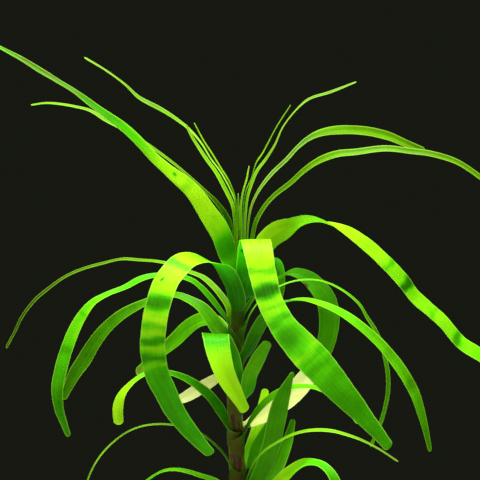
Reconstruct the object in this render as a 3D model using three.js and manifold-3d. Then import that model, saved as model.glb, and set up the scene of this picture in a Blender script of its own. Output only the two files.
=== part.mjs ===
// A potted stem plant with ribbon leaves, as it grows under water: a slotted grower's pot, its filling,
// one upright stem and its leaves. Millimetres, +Z up, origin at the centre of the pot's underside.
// The leaves were placed on a picture of the plant, taken level with it from the -Y side. How near they are
// and how they turn was judged by eye, and most of their widths were measured in the picture.
import * as THREE from "three";
import { mergeVertices } from "three/addons/utils/BufferGeometryUtils.js";
import Module from "manifold-3d";

const wasm = await Module();
wasm.setup();

// Picture: its side in pixels, what it spans at the stem, and where the eye was
const pictureSide = 480;
const spanAtStem = 134.4;
const eyeDistance = 340;
const eyeHeight = 132;
const eyeAcross = 0.6;
const mmPerPixel = spanAtStem / pictureSide;

// Pot
const potHeight = 48;
const potTopRadius = 25;
const potFootRadius = 19;
const potWall = 1.3;
const potFloor = 1.6;
const rimOverhang = 1.7;
const rimHeight = 2.6;
const slotCount = 14;
const slotWidth = 3;
const slotLow = 9;
const slotHigh = 37;
const drainCount = 6;
const drainRadius = 2;
const drainRing = 11;
const drainSegments = 12;
const roundSegments = 56;

// Filling, which stops short of the rim
const fillingTop = 43.6;
const fillingBumps = 0.7;
const fillingRings = 6;
const fillingSegments = 28;
const touchingGap = 0.3;

// Stem, thinning over its last stretch to the growing tip, with a swelling at each node
const stemRadius = 2.15;
const stemTopRadius = 0.9;
const nodeSwell = 0.28;
const nodeReach = 1.6;
const stemSides = 12;
const stemStations = 44;
const stemTaperStart = 0.72;

// Leaf blades, thickest at the midrib and sharp at the edges
const bladeThickness = 0.5;
const stationSpacing = 5;
const fewestStations = 5;
const mostStations = 22;
const crestSamples = 40;
const tipReach = 1;

// A point of the picture, by pixel column and row, that many millimetres nearer the eye than the stem's axis
function seen([column, row, nearer]) {
  const scale = mmPerPixel * (1 - nearer / eyeDistance);
  const middle = pictureSide / 2;
  return new THREE.Vector3(
    eyeAcross + (column - middle) * scale,
    -nearer,
    eyeHeight + (middle - row) * scale,
  );
}

// The value at a share of the way along an evenly spread list
function along(values, share) {
  const place = share * (values.length - 1);
  const low = Math.min(Math.floor(place), values.length - 2);
  return THREE.MathUtils.lerp(values[low], values[low + 1], place - low);
}

// A geometry with its position attribute only and its shared vertices merged
function closed(geometry) {
  const bare = geometry.clone();
  bare.deleteAttribute("normal");
  bare.deleteAttribute("uv");
  return mergeVertices(bare, 1e-4);
}

function solid(geometry) {
  const merged = closed(geometry);
  return new wasm.Manifold(
    new wasm.Mesh({
      numProp: 3,
      vertProperties: merged.attributes.position.array,
      triVerts: new Uint32Array(merged.index.array),
    }),
  );
}

function geometryOf(body) {
  const mesh = body.getMesh();
  const positions = new Float32Array(mesh.numVert * 3);
  for (let i = 0; i < mesh.numVert; i++)
    positions.set(mesh.vertProperties.subarray(i * mesh.numProp, i * mesh.numProp + 3), i * 3);
  return new THREE.BufferGeometry()
    .setAttribute("position", new THREE.BufferAttribute(positions, 3))
    .setIndex(new THREE.BufferAttribute(mesh.triVerts, 1));
}

// Cuts the four-cornered faces of every second side along their other diagonal, so that the upper and lower
// faces of a thin blade are cut alike and stay apart where it twists
function matchDiagonals(geometry, sides, stations) {
  const corners = geometry.index.array;
  for (let side = 1; side < sides; side += 2)
    for (let i = 0; i < stations; i++) {
      const first = (side * stations + i) * 6;
      const [a, b, d, , c] = corners.slice(first, first + 6);
      corners.set([a, b, c, a, c, d], first);
    }
}

// A closed cylinder whose every vertex is moved by place(share along it, x, z), with x and z on a unit circle
function swept(sides, stations, place) {
  const geometry = new THREE.CylinderGeometry(1, 1, 1, sides, stations);
  matchDiagonals(geometry, sides, stations);
  const position = geometry.attributes.position;
  for (let i = 0; i < position.count; i++) {
    const share = position.getY(i) + 0.5;
    const moved = place(share, position.getX(i), position.getZ(i));
    position.setXYZ(i, moved.x, moved.y, moved.z);
  }
  return closed(geometry);
}

// Materials
const finishes = {
  lime: new THREE.MeshStandardMaterial({ color: 0x8ee01a, roughness: 0.4 }),
  green: new THREE.MeshStandardMaterial({ color: 0x4fae12, roughness: 0.45 }),
  pale: new THREE.MeshStandardMaterial({ color: 0xe6e0a0, roughness: 0.6 }),
  stem: new THREE.MeshStandardMaterial({ color: 0x4c5a1a, roughness: 0.5 }),
  pot: new THREE.MeshStandardMaterial({ color: 0x17181a, roughness: 0.45 }),
  filling: new THREE.MeshStandardMaterial({ color: 0x5a5348, roughness: 0.95 }),
};

const plant = new THREE.Group();

function add(name, geometry, material) {
  const mesh = new THREE.Mesh(geometry, material);
  mesh.name = name;
  plant.add(mesh);
}

// Stem, from inside the filling to the growing tip
const stemPath = new THREE.CatmullRomCurve3(
  [
    [239, 640, 0],
    [239, 556, 0],
    [238, 480, 0],
    [235, 425, 0],
    [235.5, 360, 0],
    [237.5, 310, 0],
    [239, 258, 0],
  ].map(seen),
);
const stemNodeRows = [536, 506, 466, 428, 392, 356, 326];
const stemNodeHeights = stemNodeRows.map((row) => seen([0, row, 0]).z);

function stemRadiusAt(share, height) {
  const taper = THREE.MathUtils.smoothstep(share, stemTaperStart, 1);
  const plain = THREE.MathUtils.lerp(stemRadius, stemTopRadius, taper);
  const swell = stemNodeHeights.map((z) => nodeSwell * Math.exp(-(((height - z) / nodeReach) ** 2)));
  return plain + Math.max(...swell);
}

function stemShareAt(height) {
  const [low, high] = [stemPath.getPointAt(0).z, stemPath.getPointAt(1).z];
  return (height - low) / (high - low);
}

function stemGeometry(extra) {
  return swept(stemSides, stemStations, (share, x, z) => {
    const centre = stemPath.getPointAt(share);
    const radius = stemRadiusAt(share, centre.z) + extra;
    const foot = share === 0 ? extra : 0;
    return new THREE.Vector3(centre.x + x * radius, centre.y - z * radius, centre.z - foot);
  });
}
add("stem", stemGeometry(0), finishes.stem);

// Pot, turned as one shell, then slotted round its wall and drilled through its floor
function potRadius(height) {
  return THREE.MathUtils.lerp(potFootRadius, potTopRadius, height / potHeight);
}
const rimStart = potHeight - rimHeight;
const potProfile = [
  [0, 0],
  [potFootRadius, 0],
  [potRadius(rimStart), rimStart],
  [potTopRadius + rimOverhang, rimStart],
  [potTopRadius + rimOverhang, potHeight],
  [potTopRadius - potWall, potHeight],
  [potRadius(potFloor) - potWall, potFloor],
  [0, potFloor],
].map(([radius, height]) => new THREE.Vector2(radius, height));

function upright(geometry) {
  return geometry.rotateX(Math.PI / 2);
}

let pot = solid(upright(new THREE.LatheGeometry(potProfile, roundSegments)));
for (let i = 0; i < slotCount; i++) {
  const slot = new THREE.BoxGeometry(potTopRadius, slotWidth, slotHigh - slotLow);
  slot.translate(potTopRadius / 2 + potFootRadius / 2, 0, (slotLow + slotHigh) / 2);
  slot.rotateZ(((i + 0.5) * 2 * Math.PI) / slotCount);
  pot = pot.subtract(solid(slot));
}
for (let i = 0; i < drainCount; i++) {
  const drain = upright(new THREE.CylinderGeometry(drainRadius, drainRadius, 4 * potFloor, drainSegments));
  const angle = (i * 2 * Math.PI) / drainCount;
  drain.translate(drainRing * Math.cos(angle), drainRing * Math.sin(angle), 0);
  pot = pot.subtract(solid(drain));
}
add("pot", geometryOf(pot), finishes.pot);

// Filling, a tapered plug with a lumpy top, which the stem stands in
const plugBottom = potFloor + touchingGap;

function plugHeight(x, y) {
  const small = Math.sin(x * 0.9 + 1) * Math.cos(y * 0.8);
  const broad = Math.sin(x * 0.35 - y * 0.5);
  return fillingTop + fillingBumps * (0.6 * small + 0.4 * broad);
}
const plugProfile = [new THREE.Vector2(0, plugBottom)];
plugProfile.push(new THREE.Vector2(potRadius(plugBottom) - potWall - touchingGap, plugBottom));
const plugEdge = potRadius(fillingTop - fillingBumps) - potWall - touchingGap;
for (let ring = fillingRings; ring >= 1; ring--)
  plugProfile.push(new THREE.Vector2((plugEdge * ring) / fillingRings, fillingTop));
plugProfile.push(new THREE.Vector2(0, fillingTop));
const plug = upright(new THREE.LatheGeometry(plugProfile, fillingSegments));
const plugPosition = plug.attributes.position;
for (let i = 0; i < plugPosition.count; i++)
  if (plugPosition.getZ(i) > fillingTop - 1)
    plugPosition.setZ(i, plugHeight(plugPosition.getX(i), plugPosition.getY(i)));
const filling = solid(plug).subtract(solid(stemGeometry(touchingGap)));
add("filling", geometryOf(filling), finishes.filling);

// Leaves. A path runs from base to tip as [pixel column, pixel row, mm nearer the eye]. Where a leaf has a
// node, it starts on the stem at that picture row, on the side that its path heads for. width is the blade's
// millimetres across at its widest, and blade how it swells and tapers. turns are degrees about the leaf's
// own line, which bring its upper face round to the eye, spread evenly from base to tip. fold is how deep the
// midrib sits below the edges, as a share of half the width.
const ribbon = [0.62, 0.9, 1, 1, 1, 0.98, 0.94, 0.84, 0.3];
const young = [0.6, 0.8, 1, 1, 0.9, 0.75, 0.5];
const blunt = [0.6, 0.95, 1, 1, 1, 0.95, 0.62];

const leaves = {
  // Crown, left to right
  leaf_crown_left_long: {
    finish: "green",
    path: [
      [237, 266, -2.2], [236.5, 240, -2.2], [236.5, 222, -2.4], [235.5, 203, -3], [230, 189, -4],
      [220, 171, -6], [211, 159, -8], [201.5, 143.5, -10], [191, 131, -12], [175.5, 118.5, -14],
      [159.5, 108.5, -16], [139, 97.5, -18], [125, 84.5, -19], [106, 70.5, -20], [87, 59, -21],
    ],
    width: 1.2,
    blade: [0.38, 0.38, 0.4, 0.44, 0.46, 0.48, 0.74, 1, 1.26, 0.64, 0.6, 0.7],
    turns: [30, 30, 32, 34, 34, 36, 50, 64, 58, 44, 40, 40],
    fold: 0.1,
  },
  leaf_crown_left_back: {
    finish: "green",
    path: [
      [235.2, 264, -0.9], [235, 240, -1], [234.6, 222, -1.1], [232.5, 205, -1.1], [226.5, 192, -1.6],
      [216.5, 173, -3], [207, 160, -4], [200, 149.5, -5], [193, 138.5, -6], [187, 127, -7],
    ],
    width: 1.7,
    blade: young,
    turns: [5, 10, 20, 25, 25],
    fold: 0.1,
  },
  leaf_crown_left_front: {
    finish: "green",
    path: [
      [236.5, 264, 2.4], [236.5, 240, 2.4], [236.5, 218, 2.6], [235.5, 198, 3.2], [229, 181, 4],
      [221.5, 169, 5], [212, 153.5, 6.5], [204.5, 142, 7.5], [199.5, 133, 8], [196, 126, 8.5],
    ],
    width: 2.6,
    blade: [0.64, 0.76, 0.92, 1.02, 1.02, 0.94, 0.8, 0.58, 0.36],
    turns: [10, 20, 34, 36],
    fold: 0.1,
  },
  leaf_crown_middle: {
    finish: "green",
    path: [
      [240.5, 266, -2], [240.5, 240, -2], [240.5, 222, -2.2], [241, 205, -2.6], [243.5, 190, -3],
      [246.5, 180, -3.6], [248.5, 169, -4.5],
    ],
    width: 1,
    blade: [0.6, 0.74, 0.88, 0.96, 0.96, 0.82, 0.64, 0.6, 0.46],
    turns: [5, 10],
    fold: 0.1,
  },
  leaf_crown_bud: {
    finish: "green",
    path: [[239.2, 250, 0.2], [238.8, 230, 0.2], [238.4, 212, 0.4], [238.2, 197, 0.6]],
    width: 1,
    blade: young,
    turns: [5, 5],
    fold: 0.1,
  },
  leaf_crown_right_short: {
    finish: "green",
    path: [
      [242, 265, 2.2], [242.5, 240, 2.2], [243, 218, 2.4], [244, 200, 2.8], [246.5, 189, 3.2],
      [251.5, 178, 4], [256, 163, 5], [262, 154, 6], [269, 141, 7], [277, 126, 8], [288.5, 108, 9],
    ],
    width: 1.9,
    blade: [0.64, 0.76, 0.9, 0.98, 0.98, 0.88, 0.94, 0.4, 0.28],
    turns: [10, 22, 34, 28],
    fold: 0.1,
  },
  leaf_crown_right_long: {
    finish: "green",
    path: [
      [243, 268, -2.6], [244.5, 240, -2.9], [245.5, 216, -3.6], [247, 200, -4.4], [250.5, 187, -5.4],
      [257, 171, -6.8], [265.5, 159.5, -8], [274.5, 145.5, -9], [283.5, 126, -11], [299.5, 106.5, -13],
      [310, 98.5, -15], [330.5, 92, -17], [353.5, 83, -19],
    ],
    width: 1.2,
    blade: [0.68, 0.68, 0.7, 0.74, 0.88, 0.9, 0.52, 0.4, 0.48, 1.02, 0.98, 0.54],
    turns: [30, 30, 30, 34, 36, 36, 30, 34, 36, 40, 42, 40],
    fold: 0.1,
  },
  leaf_high_right_upper: {
    finish: "green",
    path: [
      [245, 270, 0], [247, 245, 0.1], [248.5, 222, 0], [251.5, 206, -0.6], [258.5, 191, -2.4],
      [271, 174.5, -6], [287, 159, -11], [297.5, 147.5, -15], [309.5, 138, -18], [323, 132.5, -21],
      [342, 130, -24], [365, 131, -27], [388, 136, -29], [407, 144, -30], [422, 150, -31],
    ],
    width: 3.3,
    blade: [0.16, 0.16, 0.18, 0.24, 0.38, 0.4, 0.36, 0.64, 1.02, 1, 1.02, 0.86, 0.64],
    turns: [45, 45, 45, 40, 35, 35, 40, 50, 56, 62, 68, 72],
    fold: 0.15,
  },
  leaf_high_right_lower: {
    finish: "green",
    path: [
      [246.5, 276, 2.4], [250, 256, 2.6], [252.5, 238, 2.8], [256, 222, 3.2], [265, 206, 4],
      [275.5, 194.5, 5], [290.5, 183, 7], [303.5, 171, 9], [319, 160.5, 11], [337, 154, 12.5],
      [356, 152, 13.5], [385, 148.5, 14], [410, 151, 14], [432, 154, 14], [456, 161.5, 13.5],
      [471, 170.5, 13], [485, 181, 12.5],
    ],
    width: 2.7,
    blade: [1, 1, 0.9, 0.64, 0.68, 0.76, 0.98, 0.84, 0.84, 0.8, 0.78, 0.72, 0.7],
    turns: [40, 42, 46, 54, 56, 54, 50, 50, 50, 52, 54, 54],
    fold: 0.15,
  },
  // High left
  leaf_high_left_broad: {
    finish: "lime",
    node: 290,
    path: [
      [234, 275, 5.6], [228, 256, 6.2], [220, 233, 8], [206, 211, 11], [193, 192, 13], [159, 162.5, 17],
      [128, 131, 20], [100, 110.5, 22], [75.5, 92, 23], [57.5, 81, 23], [38, 69, 23], [20, 58, 23],
      [0, 47.5, 23], [-9, 42, 23],
    ],
    width: 7.1,
    blade: [0.6, 0.96, 1.06, 1.02, 0.82, 0.64, 0.46, 0.46, 0.44, 0.34, 0.22, 0.26, 0.2, 0.14],
    turns: [0, 50, 62, 58, 58, 58, 56, 54, 50, 48, 46, 60, 56, 52],
    fold: 0.15,
  },
  leaf_high_left_wavy: {
    finish: "green",
    node: 284,
    path: [
      [231, 264, -0.2], [230.5, 238, 0.8], [228.5, 221, 1.8], [219, 205.5, 4.4], [204, 190, 7],
      [180, 168.5, 8], [150, 146, 9], [125, 130.5, 9], [106, 120.5, 8], [90, 110.5, 7], [74.5, 106.5, 6],
      [60, 104, 5], [45, 103, 4], [34, 104.5, 3],
    ],
    width: 1.9,
    blade: [0.82, 0.98, 1.02, 0.86, 0.56, 0.56, 0.62, 0.68, 0.72, 0.7, 0.52, 0.42],
    turns: [40, 60, 66, 50, 30, 26, 26, 26, 26, 26, 34, 36],
    fold: 0.2,
  },
  // Right
  leaf_right_broad: {
    finish: "lime",
    node: 292,
    path: [
      [252, 268, -5], [262, 248, -8], [274, 235, -11], [288.5, 228.5, -14], [303.5, 221.5, -17],
      [319.5, 221.5, -20], [334.5, 226, -22], [351.5, 234.5, -24], [370, 248, -26], [387.5, 264.5, -27],
      [402.5, 280.5, -28], [414, 296, -29], [428, 308.5, -30], [443, 322, -31], [460.5, 342.5, -32],
      [480.5, 355.5, -33], [494.5, 366.5, -34],
    ],
    width: 7.1,
    blade: [0.62, 0.9, 1.04, 1, 0.76, 0.7, 0.94, 0.84, 0.78, 0.82, 0.8, 0.78, 0.82, 0.76, 0.76],
    turns: [-20, -60, -90, -80, -34, 24, 52, 64, 66, 62, 60, 60, 60, 60],
    fold: 0.1,
  },
  leaf_right_pale: {
    finish: "green",
    node: 306,
    path: [
      [248.5, 285, -5], [257, 270, -9.6], [266, 259.5, -13.5], [273, 257, -16], [278.5, 263, -19],
      [281, 276, -21], [280.5, 290, -22], [276, 306, -22], [269, 322, -21.5],
    ],
    width: 3.4,
    blade: ribbon,
    turns: [5, 5, 15, 20],
    fold: 0.2,
  },
  leaf_right_hooked: {
    finish: "green",
    node: 320,
    path: [
      [251.5, 300, -5.6], [264, 287, -8.4], [277, 279, -11.5], [291, 272, -17], [303.5, 275, -20],
      [313, 282, -23], [320.5, 290.5, -25.5], [326.5, 301, -27], [329, 314, -28], [329, 328, -28.5],
      [326, 342, -29], [320.5, 357, -29],
    ],
    width: 6.3,
    blade: [0.46, 0.6, 0.62, 0.62, 0.58, 0.84, 0.94, 1, 1, 0.9, 0.84],
    turns: [-10, -16, -26, -34, -34, -30, -30, -32, -36, -42, -42, -42],
    fold: 0.12,
  },
  leaf_right_thin: {
    finish: "green",
    node: 334,
    path: [
      [250, 314, 0.8], [264, 296.5, 0.2], [280, 286, -1.6], [294, 281, -3.2], [308, 279.5, -4.2],
      [320, 280.5, -5.2], [332, 284.5, -6.5], [346, 292.5, -7], [359.5, 304.5, -7.5], [366.5, 316.5, -8],
      [376.5, 332.5, -8.5], [383.5, 352, -9], [387.5, 372, -9], [388, 390, -9], [385, 407.5, -8.5],
      [380, 424.5, -8], [372, 443.5, -7],
    ],
    width: 1.6,
    blade: [0.44, 0.44, 0.46, 0.58, 0.74, 0.84, 1.08, 1.02, 1.02, 0.84, 0.66],
    turns: [10, 14, 18, 26, 36, 50, 60, 70, 76, 80],
    fold: 0.2,
  },
  leaf_right_arched: {
    finish: "green",
    node: 366,
    path: [
      [249, 348, 6.5], [257, 331, 9], [266, 316, 10], [278, 304, 12], [291, 299.5, 14],
      [305, 299.5, 15.5], [319, 303, 17], [333, 308.5, 18], [347, 316, 19], [359, 325, 20],
      [370.5, 334.5, 20.5], [384.5, 348.5, 21], [398, 365.5, 21.5], [408, 381, 21.5], [415.5, 396, 21.5],
      [421, 413, 21], [426, 432, 20.5], [429.5, 448, 20],
    ],
    width: 4.1,
    blade: [0.8, 1, 1.04, 0.94, 0.88, 0.9, 0.98, 0.9, 0.92, 1, 0.96, 0.68, 0.4],
    turns: [-10, -25, -34, 0, 18, 24, 32, 38, 40, 40, 42, 44],
    fold: 0.15,
  },
  leaf_right_folded: {
    finish: "green",
    node: 404,
    path: [[247.5, 389, 5.2], [250, 376, 7], [256, 363, 8.5], [262, 352, 9.5], [266.5, 344.5, 10]],
    width: 4.4,
    blade: blunt,
    turns: [-10, -28, -30],
    fold: 0.45,
  },
  leaf_old_right: {
    finish: "pale",
    node: 432,
    path: [
      [250.5, 423, -6], [258, 418.5, -8], [268, 411.5, -10], [283, 401, -14], [296, 390, -17],
      [307, 377, -20], [316, 364, -22],
    ],
    width: 6.2,
    blade: [0.34, 0.42, 0.86, 1, 1, 0.98, 0.9, 0.62],
    turns: [40, 55, 60, 60],
    fold: 0.1,
  },
  leaf_low_right_arched: {
    finish: "green",
    node: 444,
    path: [
      [247.5, 426, 3.6], [256, 413, 4], [265, 402.5, 4.4], [276, 394, 4.8], [288, 388, 5.4],
      [300, 386.4, 6.4], [312, 387, 7.6], [323, 390.6, 8.8], [333, 397, 9.8], [343.5, 406.5, 10.6],
      [350, 413.5, 11], [355, 420.5, 11.2],
    ],
    width: 3.4,
    blade: [0.62, 0.9, 1, 1, 1, 0.95, 0.85, 0.7, 0.4],
    turns: [5, 26, 40, 26, 10, 8, 8],
    fold: 0.15,
  },
  // Front
  leaf_front: {
    finish: "lime",
    node: 306,
    path: [
      [247.5, 284, 7.6], [251, 266, 11], [253, 249, 18], [254.5, 241, 25], [256.5, 243, 31],
      [259, 256, 34.5], [263, 275, 36.5], [267, 292, 38], [273, 308, 39.5], [283, 326, 41],
      [296, 342, 42], [310, 357, 43], [324, 372, 43.5], [338, 388, 43.5], [351, 402, 43],
      [364, 417, 42.5], [377, 432, 42], [387.5, 445, 41.5],
    ],
    width: 9,
    blade: [0.62, 0.85, 0.9, 0.9, 0.88, 0.84, 0.78, 0.71, 0.75, 0.96, 0.89, 0.7, 0.48, 0.3],
    turns: [0, 0, 0, 0, 0, 5, 5, 5, 0],
    fold: -0.05,
  },
  leaf_front_left: {
    finish: "lime",
    node: 314,
    path: [
      [235, 292, 7], [229, 277, 9.5], [221.5, 266, 12.5], [210.5, 261, 16], [197, 258, 20],
      [185.5, 260.5, 24], [176, 269, 27.5], [167, 281, 30], [160.5, 297, 32], [155.5, 318, 33.5],
      [153, 340, 34], [154, 360, 34], [158.5, 377, 34], [165.5, 391.5, 33.5], [176, 412.5, 32.5],
      [188.5, 429, 31.5], [199.5, 442, 30.5], [209, 452, 29.5],
    ],
    width: 6.9,
    blade: [0.7, 0.95, 1, 1, 1, 1, 1, 1, 1, 1, 1, 0.98, 0.9, 0.8, 0.66, 0.42],
    turns: [8, 8, 4, 6, 22, 28, 26, 22, 20, 18, 22, 20, 20, 20, 20, 20],
    fold: 0.1,
  },
  leaf_front_short: {
    finish: "lime",
    node: 386,
    path: [
      [231.5, 368, 7], [226, 352, 11], [219, 338.5, 16], [215.5, 334, 20.5], [216, 339, 24.5],
      [218.5, 352, 27], [222.5, 367, 28.5], [229, 382, 29], [237, 396, 29], [244, 408.5, 28.5],
    ],
    width: 7.2,
    blade: [0.6, 0.85, 0.97, 1, 1, 0.95, 0.8, 0.64, 0.36],
    turns: [0, 0, 0, 0],
    fold: 0.1,
  },
  // Left
  leaf_left_thin: {
    finish: "green",
    node: 330,
    path: [
      [228.5, 307.5, -3], [220.5, 294.5, -5], [212, 285, -7], [202.5, 277, -9], [188.5, 271.5, -11.5],
      [175, 265.5, -14], [158, 261.5, -16.5], [140, 260, -19], [122, 259, -21.5], [104, 263, -24],
      [84, 268.5, -26], [65.5, 276.5, -28], [49, 288, -29.5], [34.5, 300.5, -31], [22, 317, -32],
      [14.5, 332.5, -33], [7.5, 345.5, -34],
    ],
    width: 2.3,
    blade: [0.85, 1.06, 1, 0.88, 0.82, 0.76, 0.88, 0.78, 0.8, 0.72, 0.64, 0.5],
    turns: [26, 26, 26, 24, 24, 26, 32, 36, 44, 58, 66, 66],
    fold: 0.2,
  },
  leaf_left_bright: {
    finish: "lime",
    node: 342,
    path: [
      [228.5, 322, 1.6], [219.5, 309.5, 2.2], [210.5, 298, 3], [201, 287.5, 4], [191, 280, 5],
      [176, 276, 6.5], [158, 275, 8], [142, 278.5, 9.5], [125.5, 287, 11], [106.5, 294.5, 12.5],
      [93.5, 302, 13.5], [82.5, 315, 14.5], [73.5, 332, 15.5], [66, 352, 16.5], [60.5, 372, 17],
      [57.5, 390, 17.5], [59, 408, 17.5], [63.5, 422, 17.5], [67.5, 433, 17.5],
    ],
    width: 4.4,
    blade: [0.5, 0.7, 0.83, 0.83, 0.66, 0.57, 0.69, 0.46, 0.62, 0.92, 0.98, 1, 0.92, 0.66, 0.36],
    turns: [0, 30, 40, 32, 26, 24, 26, 26, 32, 36, 38, 42, 48, 52],
    fold: 0.15,
  },
  leaf_left_dark: {
    finish: "green",
    node: 352,
    path: [
      [224.6, 336, -1.4], [217.2, 328, -2.2], [210, 317, -2.9], [201.5, 307, -3.6], [191, 300.5, -4.6],
      [177, 295, -6], [160, 296.5, -7.6], [142.5, 304, -9.2], [126.5, 312, -10.8], [111.5, 323, -12.2],
      [97, 339.5, -13.4], [85.5, 358, -14.4], [75.5, 372.5, -15], [69.5, 384, -15.4], [64, 396, -15.6],
    ],
    width: 6,
    blade: [0.6, 0.78, 0.72, 0.54, 0.52, 0.64, 0.72, 0.76, 0.82, 0.92, 0.76, 0.45],
    turns: [36, 54, 40, 26, 26, 38, 48, 58, 66, 70, 72, 72],
    fold: 0.15,
  },
  leaf_left_short: {
    finish: "green",
    node: 362,
    path: [
      [232, 342, -5], [224, 329, -9], [214, 321, -13], [202, 320.5, -17], [190.5, 326, -20],
      [177.5, 337.5, -22.5], [165.5, 348, -24.5], [153.5, 358, -26], [138.5, 371.5, -27.5],
    ],
    width: 6.9,
    blade: [0.46, 0.48, 0.52, 0.72, 1, 1, 0.8, 0.66, 0.54],
    turns: [0, 10, 25, 50, 66, 70, 70, 66],
    fold: 0.15,
  },
  leaf_old_left: {
    finish: "pale",
    node: 382,
    path: [
      [230, 372, -6], [220, 378, -10], [209, 384, -14], [197, 390.5, -17.5], [187, 396, -20],
      [179, 400, -21.5],
    ],
    width: 6.6,
    blade: blunt,
    turns: [20, 50, 60, 60],
    fold: 0.1,
  },
  leaf_low_left_lime: {
    finish: "lime",
    node: 436,
    path: [
      [226.5, 422, 5.2], [218.5, 407.5, 5.2], [209, 395.5, 6.4], [199, 387, 7.6], [186.5, 379, 9],
      [172.5, 373.5, 10.5], [158, 371.5, 12], [143, 375, 13.5], [130, 384.5, 14.8], [121.5, 395.5, 15.8],
      [118, 409, 16.4], [118.5, 421, 16.6],
    ],
    width: 4.3,
    blade: [0.6, 0.86, 1.02, 1, 0.96, 0.86, 0.72, 0.58, 0.46, 0.4, 0.54, 0.82, 0.64],
    turns: [0, 40, 58, 52, 46, 38, 30, 26, 26, 28, 40, 54],
    fold: 0.15,
  },
  // Low left
  leaf_low_left_thin: {
    finish: "green",
    node: 476,
    path: [
      [229, 462, 3.8], [222, 451.5, 4.4], [213, 442.5, 5.4], [204, 435.5, 6.4], [189.5, 428.5, 7.6],
      [174, 425, 9], [159, 424, 10.4], [142.5, 426, 11.8], [127, 432, 13], [114.5, 441, 14],
      [103, 452.5, 15], [94, 465.5, 15.6], [87.5, 480.5, 16], [83, 496.5, 16],
    ],
    width: 1.4,
    blade: [0.9, 1.08, 0.96, 0.78, 0.66, 0.48, 0.52, 0.52, 0.52],
    turns: [28, 28, 24, 22, 20, 20, 20, 20],
    fold: 0.2,
  },
  leaf_low_left_edge: {
    finish: "green",
    node: 506,
    path: [
      [225, 489, -4], [213, 480, -6], [200, 475.5, -8.4], [189, 472, -10.6], [175, 469.5, -13],
      [160.5, 472, -15.4], [145.5, 481.5, -17.6], [133.5, 493.5, -19.4], [124, 507.5, -21],
    ],
    width: 3.2,
    blade: [1, 0.98, 0.68, 0.64, 0.94, 0.98],
    turns: [10, 12, 18, 24, 24],
    fold: 0.2,
  },
  // Low right
  leaf_low_right_upright: {
    finish: "green",
    node: 512,
    path: [
      [254.5, 488, 5], [265.3, 464, 7.2], [272, 443, 8], [276, 424, 8.8], [279.5, 408, 9.3],
      [284.5, 392, 9.7], [291.5, 375.5, 10],
    ],
    width: 5.6,
    blade: [0.6, 0.9, 1, 1, 1, 1, 1, 0.98, 0.74, 0.24],
    turns: [0, -25, -38, -40, -38],
    fold: 0.1,
  },
  leaf_low_right_wide: {
    finish: "green",
    node: 486,
    path: [[252.5, 472, 3.2], [257, 459, 2.4], [261, 447, 2], [264.5, 436, 1.8], [267.5, 427, 1.8]],
    width: 6.4,
    blade: [0.6, 0.9, 1, 1, 0.95, 0.7, 0.35],
    turns: [0, 16, 50, 62, 60],
    fold: 0.1,
  },
  leaf_low_right_lime: {
    finish: "lime",
    node: 474,
    path: [[249, 452, -6], [256, 432, -9.5], [261.5, 413, -12.5], [265, 392, -15]],
    width: 3.3,
    blade: blunt,
    turns: [5, 25, 28],
    fold: 0.15,
  },
  leaf_low_right_back: {
    finish: "green",
    node: 524,
    path: [[258, 502, -6], [272, 478, -10], [282, 456, -13], [288.5, 438, -15], [292.5, 422.5, -16]],
    width: 3.8,
    blade: [0.6, 0.95, 1, 1, 1, 0.85, 0.4],
    turns: [10, 38, 40],
    fold: 0.15,
  },
  leaf_low_right_thin: {
    finish: "green",
    node: 500,
    path: [
      [246.5, 479, 8.6], [253.5, 463, 14], [264, 451, 17], [276, 443, 19.5], [290, 435.5, 21.4],
      [303, 431.5, 22.8], [317, 430, 24], [332, 431, 25], [347.5, 435, 25.8], [362.5, 440.5, 26.4],
      [379, 449, 26.8], [395, 459.5, 27],
    ],
    width: 1.5,
    blade: [0.8, 0.98, 1.02, 0.98, 0.86, 0.94, 1.02, 1.06, 0.82, 0.54, 0.5],
    turns: [40, 40, 40, 36, 32, 30, 30, 30, 30],
    fold: 0.2,
  },
  leaf_low_right_bright: {
    finish: "lime",
    node: 532,
    path: [
      [259, 508, 8.4], [272, 490, 14], [286, 476, 19], [299, 466, 23], [311, 462.5, 26.5],
      [322, 465, 29], [331.5, 474, 31], [338, 488.5, 32.4], [341, 503.5, 33.4],
    ],
    width: 5.3,
    blade: [0.62, 0.9, 1, 1, 1, 1, 0.84, 0.58, 0.62, 0.64],
    turns: [10, 50, 72, 70, 66, 48, 14, 10, 28],
    fold: 0.15,
  },
};

// Leaves below the picture, which arch over the rim. heading is in degrees round the stem, 270 toward the
// eye; height is where the leaf leaves the stem; reach, rise and drop are how far it goes out, up and down
const lowLeaves = [
  { heading: 226, height: 57, reach: 47, rise: 7, drop: 22, bend: 10 },
  { heading: 192, height: 50, reach: 42, rise: 8, drop: 17, bend: -12 },
  { heading: 150, height: 54.5, reach: 48, rise: 4, drop: 24, bend: 0 },
  { heading: 100, height: 55, reach: 50, rise: 3, drop: 26, bend: -10 },
  { heading: 66, height: 48, reach: 44, rise: 9, drop: 20, bend: 10 },
  { heading: 8, height: 47.5, reach: 45, rise: 10, drop: 21, bend: -8 },
  { heading: 256, height: 47.5, reach: 49, rise: 11, drop: 25, bend: 9 },
];
const lowLeafBlade = { width: 5.2, blade: ribbon, turns: [0, 8, -6, 5], fold: 0.15 };
const lowLeafOutline = [
  [0.14, 0.62],
  [0.32, 1],
  [0.54, 0.92],
  [0.74, 0.25],
  [0.9, -0.45],
  [1, -1],
];

function lowLeafPath({ heading, height, reach, rise, drop, bend }) {
  return lowLeafOutline.map(([out, up]) => {
    const angle = THREE.MathUtils.degToRad(heading + bend * out);
    const z = height + (up > 0 ? up * rise : up * drop);
    return new THREE.Vector3(out * reach * Math.cos(angle), out * reach * Math.sin(angle), z);
  });
}

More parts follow.
